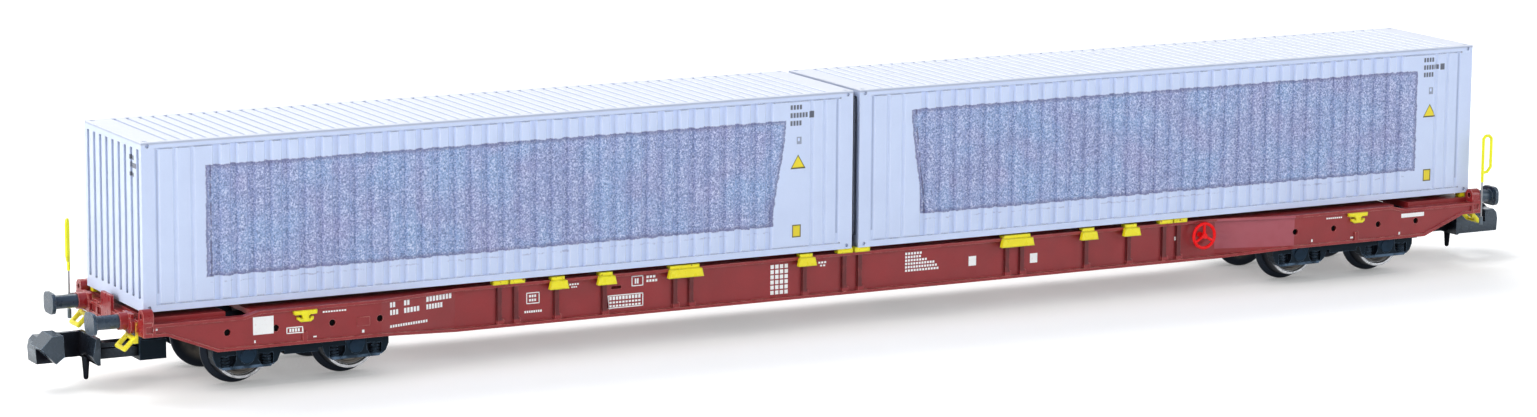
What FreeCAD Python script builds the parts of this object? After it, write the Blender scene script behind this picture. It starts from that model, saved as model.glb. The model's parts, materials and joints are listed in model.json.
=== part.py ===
"""Scale model (1:160) of a bogie container flat wagon that carries two 40 ft containers.

Millimetres. +X along the wagon towards its front, +Y to its left, +Z up. The origin is on the floor
under the middle of the wagon, which stands on its wheel flanges.

Every driving size is a cell of the spreadsheet "Sizes". Lengths in this file are Size objects: each
knows its number and the spreadsheet expression that it comes from, so that objects are bound to it.
"""
import FreeCAD, Part
import math
import os
import Sketcher
from FreeCAD import Placement, Rotation, Vector

doc = FreeCAD.newDocument("container_flat_wagon")

# ------------------------------------------------------------------------------------------------
# Driving sizes: alias, value in mm (or degrees, or a count)
# ------------------------------------------------------------------------------------------------
SIZE_TABLE = [
    # containers
    ("container_length", 76.2),
    ("container_width", 15.24),
    ("container_height", 16.19),
    ("container_gap", 0.8),
    ("container_bottom", 8.3),
    ("container_wall", 0.7),
    ("container_floor", 0.7),
    ("container_floor_gap", 0.05),
    ("casting_inset", 0.6),           # centre of a corner casting's hole from the outer faces
    ("casting_top_radius", 0.28),
    ("casting_bottom_length", 0.8),
    ("casting_bottom_width", 0.5),
    ("casting_side_radius", 0.19),
    ("casting_hole_depth", 0.45),
    ("casting_height", 0.74),
    ("bottom_rail", 0.62),
    ("top_rail", 0.6),
    ("rail_line", 0.14),              # fine groove between a rail and the wall
    ("corner_post", 1.35),
    ("flute_pitch", 1.7375),
    ("flute_depth", 0.3),
    ("flute_flat", 0.5),
    ("flute_ramp", 0.22),
    ("end_panel", 6.3),               # stretch of the side wall without flutes, at the plain end
    ("door_panel", 8.3),              # and at the door end
    ("panel_groove_depth", 0.15),
    ("panel_groove_half", 0.27),
    ("roof_flute_pitch", 1.306),
    ("roof_flute_depth", 0.16),
    ("roof_edge", 0.42),
    ("end_flute_pitch", 1.665),
    ("end_flute_depth", 0.45),
    ("end_flute_width", 0.62),
    ("door_recess", 0.3),
    ("door_bar_radius", 0.12),
    # wagon frame, lengths
    ("headstock_margin", 0.6),        # headstock's outer face beyond the container
    ("headstock_thickness", 0.9),
    ("bogie_inset", 16.7),            # bogie centre from the headstock's outer face
    ("kink_from_bogie", 7.6),         # where the sill has swung out, inwards of the bogie centre
    ("kink_run", 8.7),
    ("slope_foot_from_bogie", 9.3),   # where the bottom edge starts to rise to the headstock
    ("slope_top_inset", 2.3),
    ("step_from_bogie", 4.9),         # where the top edge drops to the end part
    ("step_run", 1.6),
    ("deck_gap_from_bogie", 5.7),     # open slot across the deck, beside the outer wheels
    ("deck_gap", 2.3),
    ("spine_past_kink", 4.3),
    # wagon frame, heights
    ("headstock_bottom", 6.2),
    ("headstock_top", 7.6),
    ("end_pocket", 0.15),             # depth of the pocket in each end of a headstock
    ("deck_top", 7.8),
    ("deck_thickness", 0.5),
    ("end_top", 7.4),                 # top of the side sill beyond the bogies
    ("sill_bottom_middle", 3.5),
    ("sill_bottom_bogie", 4.2),
    ("spine_bottom", 4.6),
    # wagon frame, widths and sections
    ("sill_half_bogie", 9.2),         # half width over the sills at the bogies
    ("sill_half_middle", 7.25),       # half width over the sills between the bogies
    ("sill_depth_bogie", 0.8),        # how far the flanges reach inwards
    ("sill_depth_middle", 1.2),
    ("sill_recess_bogie", 0.2),       # flange edge to web face
    ("sill_recess_middle", 0.45),
    ("sill_web", 0.4),
    ("sill_flange", 0.3),
    ("edge_round", 1.2),
    ("end_ledge_half", 7.9),
    ("spine_half", 2.0),
    ("member_width", 0.9),
    ("rib_width", 0.45),
    ("rib_height", 0.3),
    ("rib_offset", 0.9),
    ("sill_hole_radius", 0.33),
    ("sill_hole_z", 5.96),
    # bogies and wheelsets
    ("axle_spacing", 11.25),
    ("flange_radius", 3.5),
    ("tread_radius", 2.86),
    ("back_to_back", 7.4),
    ("wheel_width", 2.2),
    ("flange_width", 0.55),
    ("axle_radius", 0.5),
    ("journal_radius", 0.3),
    ("journal_clearance", 0.05),
    ("wheel_side_clearance", 0.2),
    ("frame_side_width", 1.2),
    ("frame_plate", 0.6),
    ("frame_side_top", 3.95),
    ("frame_side_bottom", 1.95),
    ("frame_bar_bottom", 3.3),
    ("frame_block_half", 3.45),
    ("bolster_half", 1.75),
    ("bolster_bottom", 3.75),
    ("bolster_gap", 0.1),
    ("pin_radius", 1.0),
    ("pin_clearance", 0.05),
    ("pin_head_radius", 1.5),
    ("pin_head_height", 0.6),
    ("spring_radius", 0.58),
    ("spring_offset", 2.15),
    # buffers
    ("buffer_reach", 4.1),            # buffer face beyond the headstock
    ("buffer_y", 5.65),
    ("buffer_z", 7.3),
    ("buffer_head_width", 2.65),
    ("buffer_head_height", 2.05),
    ("buffer_head_thickness", 0.36),
    ("buffer_head_round", 0.7),
    ("buffer_shank_radius", 0.68),
    ("socket_radius", 0.82),
    ("socket_length", 1.25),
    ("socket_plate", 2.1),
    ("socket_plate_thickness", 0.35),
    ("boss_y", 6.35),
    ("boss_z", 6.95),
    ("boss_radius", 0.75),
    # couplings
    ("coupling_reach", 7.8),          # tip of the hook beyond the headstock
    ("coupling_head_length", 5.95),
    ("coupling_pivot_inset", 3.9),    # pivot inwards of the headstock's outer face
    ("coupling_half_width", 2.5),
    ("coupling_wall", 0.55),
    ("coupling_bottom", 2.5),
    ("coupling_top", 5.1),
    ("coupling_nose_from", 2.6),      # the hook's nose across the head, from its right side
    ("coupling_nose_to", 0.4),
    ("coupling_notch_from", 2.07),    # notch in the long wall, beyond the tip
    ("coupling_notch", 0.78),
    ("shank_half", 0.8),
    ("shank_bottom", 2.75),
    ("shank_top", 4.25),
    ("shank_groove_z", 3.7),
    ("socket_block_half", 1.25),
    ("socket_block_length", 2.7),
    ("coupling_pin_radius", 0.45),
    ("coupling_clearance", 0.06),
    ("peg_radius", 0.4),
    ("peg_tip_radius", 0.24),
    ("peg_tip_z", 0.75),
    # spigots
    ("spigot_length", 1.6),
    ("corner_spigot", 0.35),
    ("spigot_width", 0.8),
    ("spigot_pin_height", 0.35),
    ("spigot_pin_radius", 0.2),
    ("folded_height", 0.85),
    ("folded_top", 7.75),
    ("folded_reach", 0.55),
    ("folded_single", 2.05),
    ("folded_double", 3.9),
    # fittings
    ("bracket_from_bogie", 0.4),
    ("bracket_thickness", 0.45),
    ("bracket_half", 1.2),
    ("bracket_height", 1.1),
    ("bracket_top", 7.5),
    ("brake_wheel_from_kink", 1.9),
    ("brake_wheel_z", 6.2),
    ("brake_wheel_radius", 1.3),
    ("brake_wheel_rim", 0.17),
    ("brake_wheel_stand_off", 0.9),
    ("handle_rod", 0.24),
    ("handle_outer_y", 7.25),
    ("handle_inner_y", 5.3),
    ("handle_top", 5.85),
    ("handle_drop", 0.92),
    ("handle_out", 0.95),
    ("handle_strap_y", 7.6),
    ("rail_y", 9.2),
    ("rail_rod", 0.16),
    ("rail_wire", 0.09),
    ("rail_top", 14.65),
    ("rail_loop_height", 3.95),
    ("rail_loop_width", 1.05),
    ("rail_sleeve_bottom", 9.6),
    ("rail_foot_top", 5.8),
    ("rail_foot_bottom", 4.9),
    ("rail_foot_radius", 0.2),
    ("stop_height", 0.5),             # how far a corner stop stands above the container's bottom
    ("stop_half_width", 0.68),
    ("stop_length", 1.05),
    ("stop_y", 8.45),
    ("centre_plate_half", 1.3),
    ("centre_plate_top", 8.95),
    ("tank_radius", 1.1),
    ("tank_length", 9.0),
]


class Size:
    """A length that knows its number and the spreadsheet expression it comes from."""

    def __init__(self, number, text):
        self.number = float(number)
        self.text = text

    def _join(self, sign, other, number, swap=False):
        other = size(other)
        first, second = (other, self) if swap else (self, other)
        return Size(number, f"({first.text} {sign} {second.text})")

    def __add__(self, other):
        return self._join("+", other, self.number + float(other))

    def __radd__(self, other):
        return self._join("+", other, self.number + float(other))

    def __sub__(self, other):
        return self._join("-", other, self.number - float(other))

    def __rsub__(self, other):
        return self._join("-", other, float(other) - self.number, swap=True)

    def __mul__(self, other):
        return self._join("*", other, self.number * float(other))

    def __rmul__(self, other):
        return self._join("*", other, self.number * float(other))

    def __truediv__(self, other):
        return self._join("/", other, self.number / float(other))

    def __neg__(self):
        return Size(-self.number, f"(0 - {self.text})")

    def __float__(self):
        return self.number


def size(value):
    """Any number as a Size."""
    return value if isinstance(value, Size) else Size(value, f"({float(value)!r})")


def make_sheet():
    """The spreadsheet of driving sizes, and its cells as Size objects by alias."""
    sheet = doc.addObject("Spreadsheet::Sheet", "Sizes")
    for row, (alias, number) in enumerate(SIZE_TABLE, start=1):
        sheet.set(f"A{row}", alias)
        sheet.set(f"B{row}", str(number))
        sheet.setAlias(f"B{row}", alias)
    doc.recompute()
    return {alias: Size(sheet.get(alias), f"Sizes.{alias}") for alias, _ in SIZE_TABLE}


class Aliases:
    """The spreadsheet's cells as attributes."""


D = Aliases()
D.__dict__.update(make_sheet())

# distances from the middle of the wagon, all led by the container's length
D.headstock_x = D.container_length + D.container_gap / 2 + D.headstock_margin
D.bogie_x = D.headstock_x - D.bogie_inset
D.kink_outer_x = D.bogie_x - D.kink_from_bogie
D.kink_inner_x = D.kink_outer_x - D.kink_run
D.slope_foot_x = D.bogie_x + D.slope_foot_from_bogie
D.slope_top_x = D.headstock_x - D.slope_top_inset
D.step_inner_x = D.bogie_x + D.step_from_bogie
D.step_outer_x = D.step_inner_x + D.step_run
D.deck_gap_x = D.bogie_x + D.deck_gap_from_bogie
D.spine_end_x = D.kink_inner_x + D.spine_past_kink
D.bracket_x = D.bogie_x + D.bracket_from_bogie
D.brake_wheel_x = D.kink_inner_x - D.brake_wheel_from_kink
D.buffer_face_x = D.headstock_x + D.buffer_reach
D.coupling_reach_x = D.headstock_x + D.coupling_reach
D.coupling_back_x = D.coupling_reach_x - D.coupling_head_length
D.coupling_pivot_x = D.headstock_x - D.coupling_pivot_inset


# ------------------------------------------------------------------------------------------------
# Building blocks. Every length may be a number or a Size.
# ------------------------------------------------------------------------------------------------
AXIS_ROTATION = {
    "X": Rotation(Vector(0, 1, 0), 90),
    "Y": Rotation(Vector(1, 0, 0), -90),
    "Z": Rotation(),
}
# sketch plane: rotation that lays the sketch in it, and the direction an extrusion takes
PLANES = {
    "XY": (Rotation(), Vector(0, 0, 1)),
    "XZ": (Rotation(Vector(1, 0, 0), 90), Vector(0, 1, 0)),
    "YZ": (Rotation(Vector(0, 1, 0), Vector(0, 0, 1), Vector(1, 0, 0), "ZXY"), Vector(1, 0, 0)),
}
finished = []


def bind(obj, prop, length):
    """Bind a property to a length's spreadsheet expression."""
    obj.setExpression(prop, size(length).text)


def locate(obj, x, y, z, rotation=None):
    """Place an object's own origin at x, y, z."""
    if rotation is not None:
        obj.Placement = Placement(Vector(), rotation)
    for axis, length in zip("xyz", (x, y, z)):
        bind(obj, f".Placement.Base.{axis}", length)
    return obj


def box(x0, y0, z0, x1, y1, z1):
    """A box between two corners."""
    obj = doc.addObject("Part::Box", "box")
    bind(obj, "Length", size(x1) - x0)
    bind(obj, "Width", size(y1) - y0)
    bind(obj, "Height", size(z1) - z0)
    return locate(obj, x0, y0, z0)


def cylinder(x, y, z, radius, length, axis="Z"):
    """A cylinder that starts at x, y, z and runs along +X, +Y or +Z."""
    obj = doc.addObject("Part::Cylinder", "cylinder")
    bind(obj, "Radius", radius)
    bind(obj, "Height", length)
    return locate(obj, x, y, z, AXIS_ROTATION[axis])


def cone(x, y, z, radius, end_radius, length, axis="Z"):
    """A cone or taper that starts at x, y, z and runs along +X, +Y or +Z."""
    obj = doc.addObject("Part::Cone", "cone")
    bind(obj, "Radius1", radius)
    bind(obj, "Radius2", end_radius)
    bind(obj, "Height", length)
    return locate(obj, x, y, z, AXIS_ROTATION[axis])


def polygon(sketch, points):
    """Draw a closed polygon in a sketch, each corner bound to its two lengths."""
    corners = [(size(a), size(b)) for a, b in points]
    count = len(corners)
    for index, (a, b) in enumerate(corners):
        c, d = corners[(index + 1) % count]
        sketch.addGeometry(Part.LineSegment(Vector(a.number, b.number, 0), Vector(c.number, d.number, 0)))
    for index in range(count):
        sketch.addConstraint(Sketcher.Constraint("Coincident", index, 2, (index + 1) % count, 1))
    for index, (a, b) in enumerate(corners):
        for kind, length in (("DistanceX", a), ("DistanceY", b)):
            number = sketch.addConstraint(Sketcher.Constraint(kind, index, 1, length.number))
            sketch.setExpression(f"Constraints[{number}]", length.text)
    return sketch


def prism(plane, points, start, end):
    """A polygon drawn in a plane and extruded from start to end along the plane's normal."""
    rotation, direction = PLANES[plane]
    sketch = doc.addObject("Sketcher::SketchObject", "outline")
    polygon(sketch, points)
    base = {"XY": (0, 0, start), "XZ": (0, start, 0), "YZ": (start, 0, 0)}[plane]
    locate(sketch, *base, rotation)
    obj = doc.addObject("Part::Extrusion", "prism")
    obj.Base = sketch
    obj.DirMode = "Custom"
    obj.Dir = direction
    obj.Solid = True
    bind(obj, "LengthFwd", size(end) - start)
    return obj


def fuse(*pieces):
    """The pieces as one solid."""
    obj = doc.addObject("Part::MultiFuse", "fusion")
    obj.Shapes = list(pieces)
    obj.Refine = True
    return obj


def cut(base, *tools):
    """The base without the tools."""
    tool = tools[0] if len(tools) == 1 else doc.addObject("Part::MultiFuse", "tools")
    if len(tools) > 1:
        tool.Shapes = list(tools)
    obj = doc.addObject("Part::Cut", "cut")
    obj.Base = base
    obj.Tool = tool
    obj.Refine = True
    return obj


def common(first, second):
    """What two pieces share."""
    obj = doc.addObject("Part::MultiCommon", "common")
    obj.Shapes = [first, second]
    return obj


def group(*pieces):
    """Solids that don't touch, kept together in one sub-part."""
    obj = doc.addObject("Part::Compound", "group")
    obj.Links = list(pieces)
    return obj


def rounded(base, radius, picks):
    """Fillet the edges that picks(edge) chooses."""
    doc.recompute()
    obj = doc.addObject("Part::Fillet", "rounded")
    obj.Base = base
    chosen = [number for number, edge in enumerate(base.Shape.Edges, start=1) if picks(edge)]
    if not chosen:
        raise RuntimeError(f"no edge to round on {base.Label}")
    obj.Edges = [(number, float(radius), float(radius)) for number in chosen]
    return obj


def runs_along(edge, axis):
    """Whether a straight edge runs along X, Y or Z."""
    if not isinstance(edge.Curve, (Part.Line, Part.LineSegment)):
        return False
    direction = edge.Curve.Direction
    return abs(abs(direction["XYZ".index(axis)]) - 1) < 1e-6


def sub_part(obj, label, turned=False):
    """Name a finished sub-part. A turned one is the same piece at the other end or side."""
    holder = obj
    if turned:
        holder.Placement = Placement(Vector(), Rotation(Vector(0, 0, 1), 180))
    holder.Label = label
    finished.append(holder)
    return holder


ENDS = (("rear", False), ("front", True))       # built at -X, turned for +X
SIDES = (("right", False), ("left", True))      # built at -Y, turned for +Y


# ------------------------------------------------------------------------------------------------
# Wagon frame
# ------------------------------------------------------------------------------------------------
def mirrored(points):
    """A list of (x, other) corners for +X, followed by their mirror images for -X in reverse."""
    return list(points) + [(-size(x), other) for x, other in reversed(points)]


def sill_elevation(inset, end_inset):
    """Side view outline of a sill, drawn in by inset at its edges and end_inset at its ends."""
    end_x = D.headstock_x - D.headstock_thickness - end_inset
    lower = [
        (D.kink_inner_x, D.sill_bottom_middle + inset),
        (D.kink_outer_x, D.sill_bottom_bogie + inset),
        (D.slope_foot_x, D.sill_bottom_bogie + inset),
        (D.slope_top_x, D.headstock_bottom + inset),
        (end_x, D.headstock_bottom + inset),
    ]
    upper = [
        (end_x, D.end_top - inset),
        (D.step_outer_x, D.end_top - inset),
        (D.step_inner_x, D.deck_top - inset),
    ]
    return mirrored(lower + upper)


def sill_strip(bogie_from, bogie_to, middle_from, middle_to):
    """Plan view of a strip along the right sill, between two distances from the centre line."""
    end_x = D.headstock_x
    outer = [(D.kink_inner_x, -middle_from), (D.kink_outer_x, -bogie_from), (end_x, -bogie_from)]
    inner = [(end_x, -bogie_to), (D.kink_outer_x, -bogie_to), (D.kink_inner_x, -middle_to)]
    return mirrored(outer + inner)


# x of what stands on the middle part of a sill, in container lengths from the middle
SPIGOT_PAIRS_X = [share * D.container_length for share in (-0.5066, 0, 0.5066)]
FOLDED_DOUBLES_X = [share * D.container_length for share in (-0.2533, 0.2533)]
FOLDED_SINGLES_X = [share * D.container_length for share in (-0.437, -0.3681, -0.0722, 0.3681, 0.437)]
# x of the round holes in a sill from the lifting bracket, in axle spacings
SILL_HOLES_DX = [share * D.axle_spacing for share in (-0.6978, -0.2578, 0.2578, 0.6978)]


def sill_ribs():
    """Upright ribs on the web, each with a small foot, under every spigot."""
    web_y = D.sill_half_middle - D.sill_recess_middle
    places = [x + side * D.rib_offset for x in SPIGOT_PAIRS_X + FOLDED_DOUBLES_X for side in (-1, 1)]
    places += list(FOLDED_SINGLES_X)
    foot_top = D.sill_bottom_middle + D.sill_flange + 0.5
    ribs = []
    for x in places:
        half = D.rib_width / 2
        ribs.append(box(x - half, -web_y - D.rib_height, D.sill_bottom_middle + D.sill_flange / 2,
                        x + half, -web_y + D.sill_web / 2, D.deck_top - D.sill_flange / 2))
        ribs.append(box(x - half, -web_y - D.rib_height, D.sill_bottom_middle + D.sill_flange / 2,
                        x + half + 0.25, -web_y + D.sill_web / 2, foot_top))
    return ribs


def side_sill():
    """A pressed channel sill: straight top, deep middle, swung outwards at the bogies."""
    full = prism("XZ", sill_elevation(0, 0), -(D.sill_half_bogie + 1), 0)
    full = rounded(full, D.edge_round, sill_corner)
    inner = prism("XZ", sill_elevation(D.sill_flange, D.sill_flange), -(D.sill_half_bogie + 2), 0)
    inner = rounded(inner, D.edge_round, sill_corner)
    web_bogie = D.sill_half_bogie - D.sill_recess_bogie
    web_middle = D.sill_half_middle - D.sill_recess_middle
    strip = prism("XY", sill_strip(D.sill_half_bogie, D.sill_half_bogie - D.sill_depth_bogie,
                                   D.sill_half_middle, D.sill_half_middle - D.sill_depth_middle),
                  D.sill_bottom_middle - 1, D.deck_top + 1)
    outside = prism("XY", sill_strip(D.sill_half_bogie + 1, web_bogie, D.sill_half_middle + 1, web_middle),
                    D.sill_bottom_middle - 1, D.deck_top + 1)
    inside = prism("XY", sill_strip(web_bogie - D.sill_web, D.sill_half_bogie - D.sill_depth_bogie - 1,
                                    web_middle - D.sill_web, D.sill_half_middle - D.sill_depth_middle - 1),
                   D.sill_bottom_middle - 1, D.deck_top + 1)
    channel = cut(common(full, strip), common(inner, outside), common(inner, inside))
    extras = sill_ribs()
    for side in (-1, 1):
        rib_x = side * D.bracket_x
        extras.append(box(rib_x - D.rib_width / 2, -D.sill_half_bogie,
                          D.sill_bottom_bogie + D.sill_flange / 2, rib_x + D.rib_width / 2,
                          -web_bogie + D.sill_web / 2, D.sill_bottom_bogie + 1.2))
    plate_x = -D.bogie_x + D.axle_spacing / 2
    plate_z = D.sill_hole_z
    extras.append(box(plate_x - 0.6, -web_bogie - 0.06, plate_z - 0.55, plate_x + 0.75, -web_bogie + 0.1,
                      plate_z + 0.3))
    holes = [cylinder(side * D.bracket_x + dx, -(D.sill_half_bogie + 1), D.sill_hole_z,
                      D.sill_hole_radius, D.sill_depth_bogie + 1.5, "Y")
             for side in (-1, 1) for dx in SILL_HOLES_DX]
    slot_x = FOLDED_SINGLES_X[1] + 1.4
    slot = box(slot_x - 0.55, -(web_middle + 1), D.sill_hole_z + 0.25,
               slot_x + 0.55, -(web_middle - 1), D.sill_hole_z + 0.55)
    return cut(fuse(channel, *extras), *holes, slot)


def sill_corner(edge):
    """The edges across a sill where its outline bends, at the slope and at the step."""
    if not runs_along(edge, "Y"):
        return False
    x = abs(edge.CenterOfMass.x)
    bends = (D.slope_top_x, D.step_inner_x, D.step_outer_x)
    return any(abs(x - float(bend)) < 1e-3 for bend in bends)


for side_name, turned in SIDES:
    sub_part(side_sill(), f"side_sill_{side_name}", turned)

# x of the members that cross the wagon between the sills, in container lengths
CROSS_MEMBERS_X = [share * D.container_length for share in (0, 0.127, 0.2533, 0.3681, 0.437, 0.5066)]


def centre_frame():
    """Spine, cross members, the decks over the bogies and the decks at the ends."""
    inner_middle = D.sill_half_middle - D.sill_depth_middle
    inner_bogie = D.sill_half_bogie - D.sill_depth_bogie
    web_inner = D.sill_half_middle - D.sill_recess_middle - D.sill_web
    underside = D.deck_top - D.deck_thickness
    pieces = [box(-D.spine_end_x, -D.spine_half, D.spine_bottom, D.spine_end_x, D.spine_half, underside)]
    places = CROSS_MEMBERS_X + [-x for x in CROSS_MEMBERS_X[1:]]
    places += [side * (D.kink_inner_x - D.member_width) for side in (-1, 1)]
    for x in places:
        pieces.append(box(x - D.member_width / 2, -web_inner, D.spine_bottom,
                          x + D.member_width / 2, web_inner, D.deck_top - D.sill_flange))
    for side in (-1, 1):
        deck = [(side * D.kink_inner_x, -inner_middle), (side * D.kink_outer_x, -inner_bogie),
                (side * D.deck_gap_x, -inner_bogie), (side * D.deck_gap_x, inner_bogie),
                (side * D.kink_outer_x, inner_bogie), (side * D.kink_inner_x, inner_middle)]
        pieces.append(prism("XY", deck, underside, D.deck_top))
        near = side * (D.deck_gap_x - 1)
        far = side * (D.headstock_x - D.headstock_thickness)
        start = side * (D.deck_gap_x + D.deck_gap)
        low, high = (near, far) if side > 0 else (far, near)
        pieces.append(box(low, -D.spine_half, underside, high, D.spine_half, D.deck_top))
        low, high = (start, far) if side > 0 else (far, start)
        pieces.append(box(low, -inner_bogie, underside - 0.15, high, inner_bogie, D.end_top - 0.05))
        pieces.append(box(low, -D.end_ledge_half, underside, high, D.end_ledge_half, D.deck_top))
    return fuse(*pieces)


sub_part(centre_frame(), "centre_frame")


def headstock():
    """End beam with the buffer sockets, the upright plate in the middle and the two container stops."""
    face = -D.headstock_x
    pieces = [box(face, -D.sill_half_bogie, D.headstock_bottom,
                  face + D.headstock_thickness, D.sill_half_bogie, D.headstock_top)]
    pieces.append(box(face - 0.35, -D.centre_plate_half, D.headstock_bottom + 0.4,
                      face, D.centre_plate_half, D.centre_plate_top))
    for strip_z in (D.headstock_bottom, D.headstock_top - 0.45):
        pieces.append(box(face - 0.2, -D.buffer_y, strip_z, face, D.buffer_y, strip_z + 0.25))
    holes = []
    for side in (-1, 1):
        end_y = side * D.sill_half_bogie
        holes.append(box(face + 0.25, end_y - D.end_pocket, D.headstock_bottom + 0.4,
                         face + D.headstock_thickness, end_y + D.end_pocket, D.headstock_top - 0.4))
        y = side * D.buffer_y
        half = D.socket_plate / 2
        pieces.append(box(face - D.socket_plate_thickness, y - half, D.buffer_z - half,
                          face, y + half, D.buffer_z + half - 0.25))
        pieces.append(cylinder(face - D.socket_length, y, D.buffer_z,
                               D.socket_radius, D.socket_length + 0.1, "X"))
        pieces.append(cylinder(face - 0.45, side * D.boss_y, D.boss_z, D.boss_radius, 0.5, "X"))
        rib_y = y / 2
        pieces.append(box(face - 0.25, rib_y - 0.15, D.headstock_bottom, face, rib_y + 0.15,
                          D.headstock_top - 0.1))
        stop_y = side * D.stop_y
        width = D.stop_half_width
        eye_z = D.container_bottom + D.stop_height - width
        pieces.append(box(face, stop_y - width, D.headstock_top - 0.2,
                          face + D.stop_length, stop_y + width, eye_z))
        pieces.append(cylinder(face, stop_y, eye_z, width, D.stop_length, "X"))
        holes.append(cylinder(face - 1, stop_y, eye_z, width * 0.4, D.stop_length + 2, "X"))
    return cut(fuse(*pieces), *holes)


for end_name, turned in ENDS:
    sub_part(headstock(), f"headstock_{end_name}", turned)


def buffer(side):
    """Flat rounded head on a round shank that ends at its socket."""
    y = side * D.buffer_y
    half_width = D.buffer_head_width / 2
    half_height = D.buffer_head_height / 2
    head = box(-D.buffer_face_x, y - half_width, D.buffer_z - half_height,
               -D.buffer_face_x + D.buffer_head_thickness, y + half_width, D.buffer_z + half_height)
    head = rounded(head, D.buffer_head_round, lambda edge: runs_along(edge, "X"))
    shank_start = -D.buffer_face_x + D.buffer_head_thickness - 0.1
    shank = cylinder(shank_start, y, D.buffer_z, D.buffer_shank_radius,
                     -D.headstock_x - D.socket_length - shank_start, "X")
    return fuse(head, shank)


for end_name, turned in ENDS:
    for side_name, side in (("right", -1), ("left", 1)):
        placed_side = -side if turned else side
        sub_part(buffer(placed_side), f"buffer_{end_name}_{side_name}", turned)


# ------------------------------------------------------------------------------------------------
# Load fittings on the frame
# ------------------------------------------------------------------------------------------------
def container_corners():
    """x and y of the holes in the bottom corner castings of both containers."""
    far_x = D.container_gap / 2 + D.container_length - D.casting_inset
    near_x = D.container_gap / 2 + D.casting_inset
    y = D.container_width / 2 - D.casting_inset
    return [(sx * x, sy * y) for x in (far_x, near_x) for sx in (-1, 1) for sy in (-1, 1)]


def container_spigots():
    """Plates under the container corners, each with a pin that enters the corner casting."""
    solids = []
    for x, y in container_corners():
        if abs(float(x)) < float(D.container_length) / 2:
            half_length = D.container_gap / 2 + D.casting_inset - 0.15
        else:
            half_length = D.corner_spigot
        plate = box(x - half_length, y - D.spigot_width / 2, D.deck_top,
                    x + half_length, y + D.spigot_width / 2, D.container_bottom)
        pin = cylinder(x, y, D.container_bottom - 0.1, D.spigot_pin_radius, D.spigot_pin_height + 0.1)
        solids.append(fuse(plate, pin))
    for x in (SPIGOT_PAIRS_X[0], SPIGOT_PAIRS_X[-1]):
        for offset in (-D.rib_offset, D.rib_offset):
            for side in (-1, 1):
                y = side * (D.container_width / 2 - D.casting_inset)
                solids.append(box(x + offset - D.spigot_length / 2, y - D.spigot_width / 2, D.deck_top,
                                  x + offset + D.spigot_length / 2, y + D.spigot_width / 2,
                                  D.container_bottom - 0.05))
    return group(*solids)


sub_part(container_spigots(), "container_spigots")


def folded_spigots():
    """Spigots folded down beside the sill, each hinged on the sill's top edge."""
    solids = []
    flange_y = -D.sill_half_middle
    places = [(x, D.folded_single) for x in FOLDED_SINGLES_X]
    places += [(x, D.folded_double) for x in FOLDED_DOUBLES_X]
    low = D.folded_top - D.folded_height
    for x, width in places:
        half = width / 2
        block = prism("XZ", [(x - half, low), (x + half, low), (x + half - 0.2, D.folded_top),
                             (x - half + 0.2, D.folded_top)], flange_y - D.folded_reach, flange_y)
        left, right, leaf_top = x - half + 0.3, x + half - 0.3, D.deck_top + 0.3
        hinge = box(left, flange_y - 0.15, D.folded_top - 0.1, right, flange_y, leaf_top)
        leaf = box(left, flange_y - 0.15, D.deck_top, right, flange_y + 0.6, leaf_top)
        solids.append(fuse(block, hinge, leaf))
    return group(*solids)


for side_name, turned in SIDES:
    sub_part(folded_spigots(), f"folded_spigots_{side_name}", turned)


def lifting_brackets():
    """Anchor shaped brackets on the sills over the bogie centres."""
    solids = []
    web_y = -(D.sill_half_bogie - D.sill_recess_bogie)
    # half outline from the bottom up: share of the half width, share of the height
    half_outline = [(0, 0), (0.42, 0), (0.66, 0.18), (0.68, 0.42), (0.5, 0.42), (0.42, 0.27), (0.27, 0.27),
                    (0.27, 0.5), (0.42, 0.62), (0.95, 0.64), (1, 1)]
    bottom = D.bracket_top - D.bracket_height
    for side in (-1, 1):
        x = side * D.bracket_x
        corners = [(a * D.bracket_half, bottom + b * D.bracket_height) for a, b in half_outline]
        outline = [(x + a, b) for a, b in corners] + [(x - a, b) for a, b in reversed(corners[1:])]
        solids.append(prism("XZ", outline, web_y - D.bracket_thickness, web_y))
    return group(*solids)


for side_name, turned in SIDES:
    sub_part(lifting_brackets(), f"lifting_brackets_{side_name}", turned)


def brake_wheel():
    """Moulded parking brake wheel with three spokes, on a short spindle from the sill."""
    web_y = -(D.sill_half_middle - D.sill_recess_middle)
    wheel_y = web_y - D.brake_wheel_stand_off
    ring = doc.addObject("Part::Torus", "rim")
    bind(ring, "Radius1", D.brake_wheel_radius)
    bind(ring, "Radius2", D.brake_wheel_rim)
    locate(ring, D.brake_wheel_x, wheel_y, D.brake_wheel_z, AXIS_ROTATION["Y"])
    pieces = [ring]
    pieces.append(cylinder(D.brake_wheel_x, wheel_y - D.brake_wheel_rim, D.brake_wheel_z,
                           0.3, D.brake_wheel_stand_off + D.brake_wheel_rim, "Y"))
    for turn in (90, 210, 330):
        spoke = doc.addObject("Part::Cylinder", "spoke")
        bind(spoke, "Radius", D.brake_wheel_rim * 0.9)
        bind(spoke, "Height", D.brake_wheel_radius)
        direction = Vector(math.cos(math.radians(turn)), 0, math.sin(math.radians(turn)))
        locate(spoke, D.brake_wheel_x, wheel_y, D.brake_wheel_z, Rotation(Vector(0, 0, 1), direction))
        pieces.append(spoke)
    return fuse(*pieces)


for side_name, turned in SIDES:
    sub_part(brake_wheel(), f"brake_wheel_{side_name}", turned)


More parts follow.
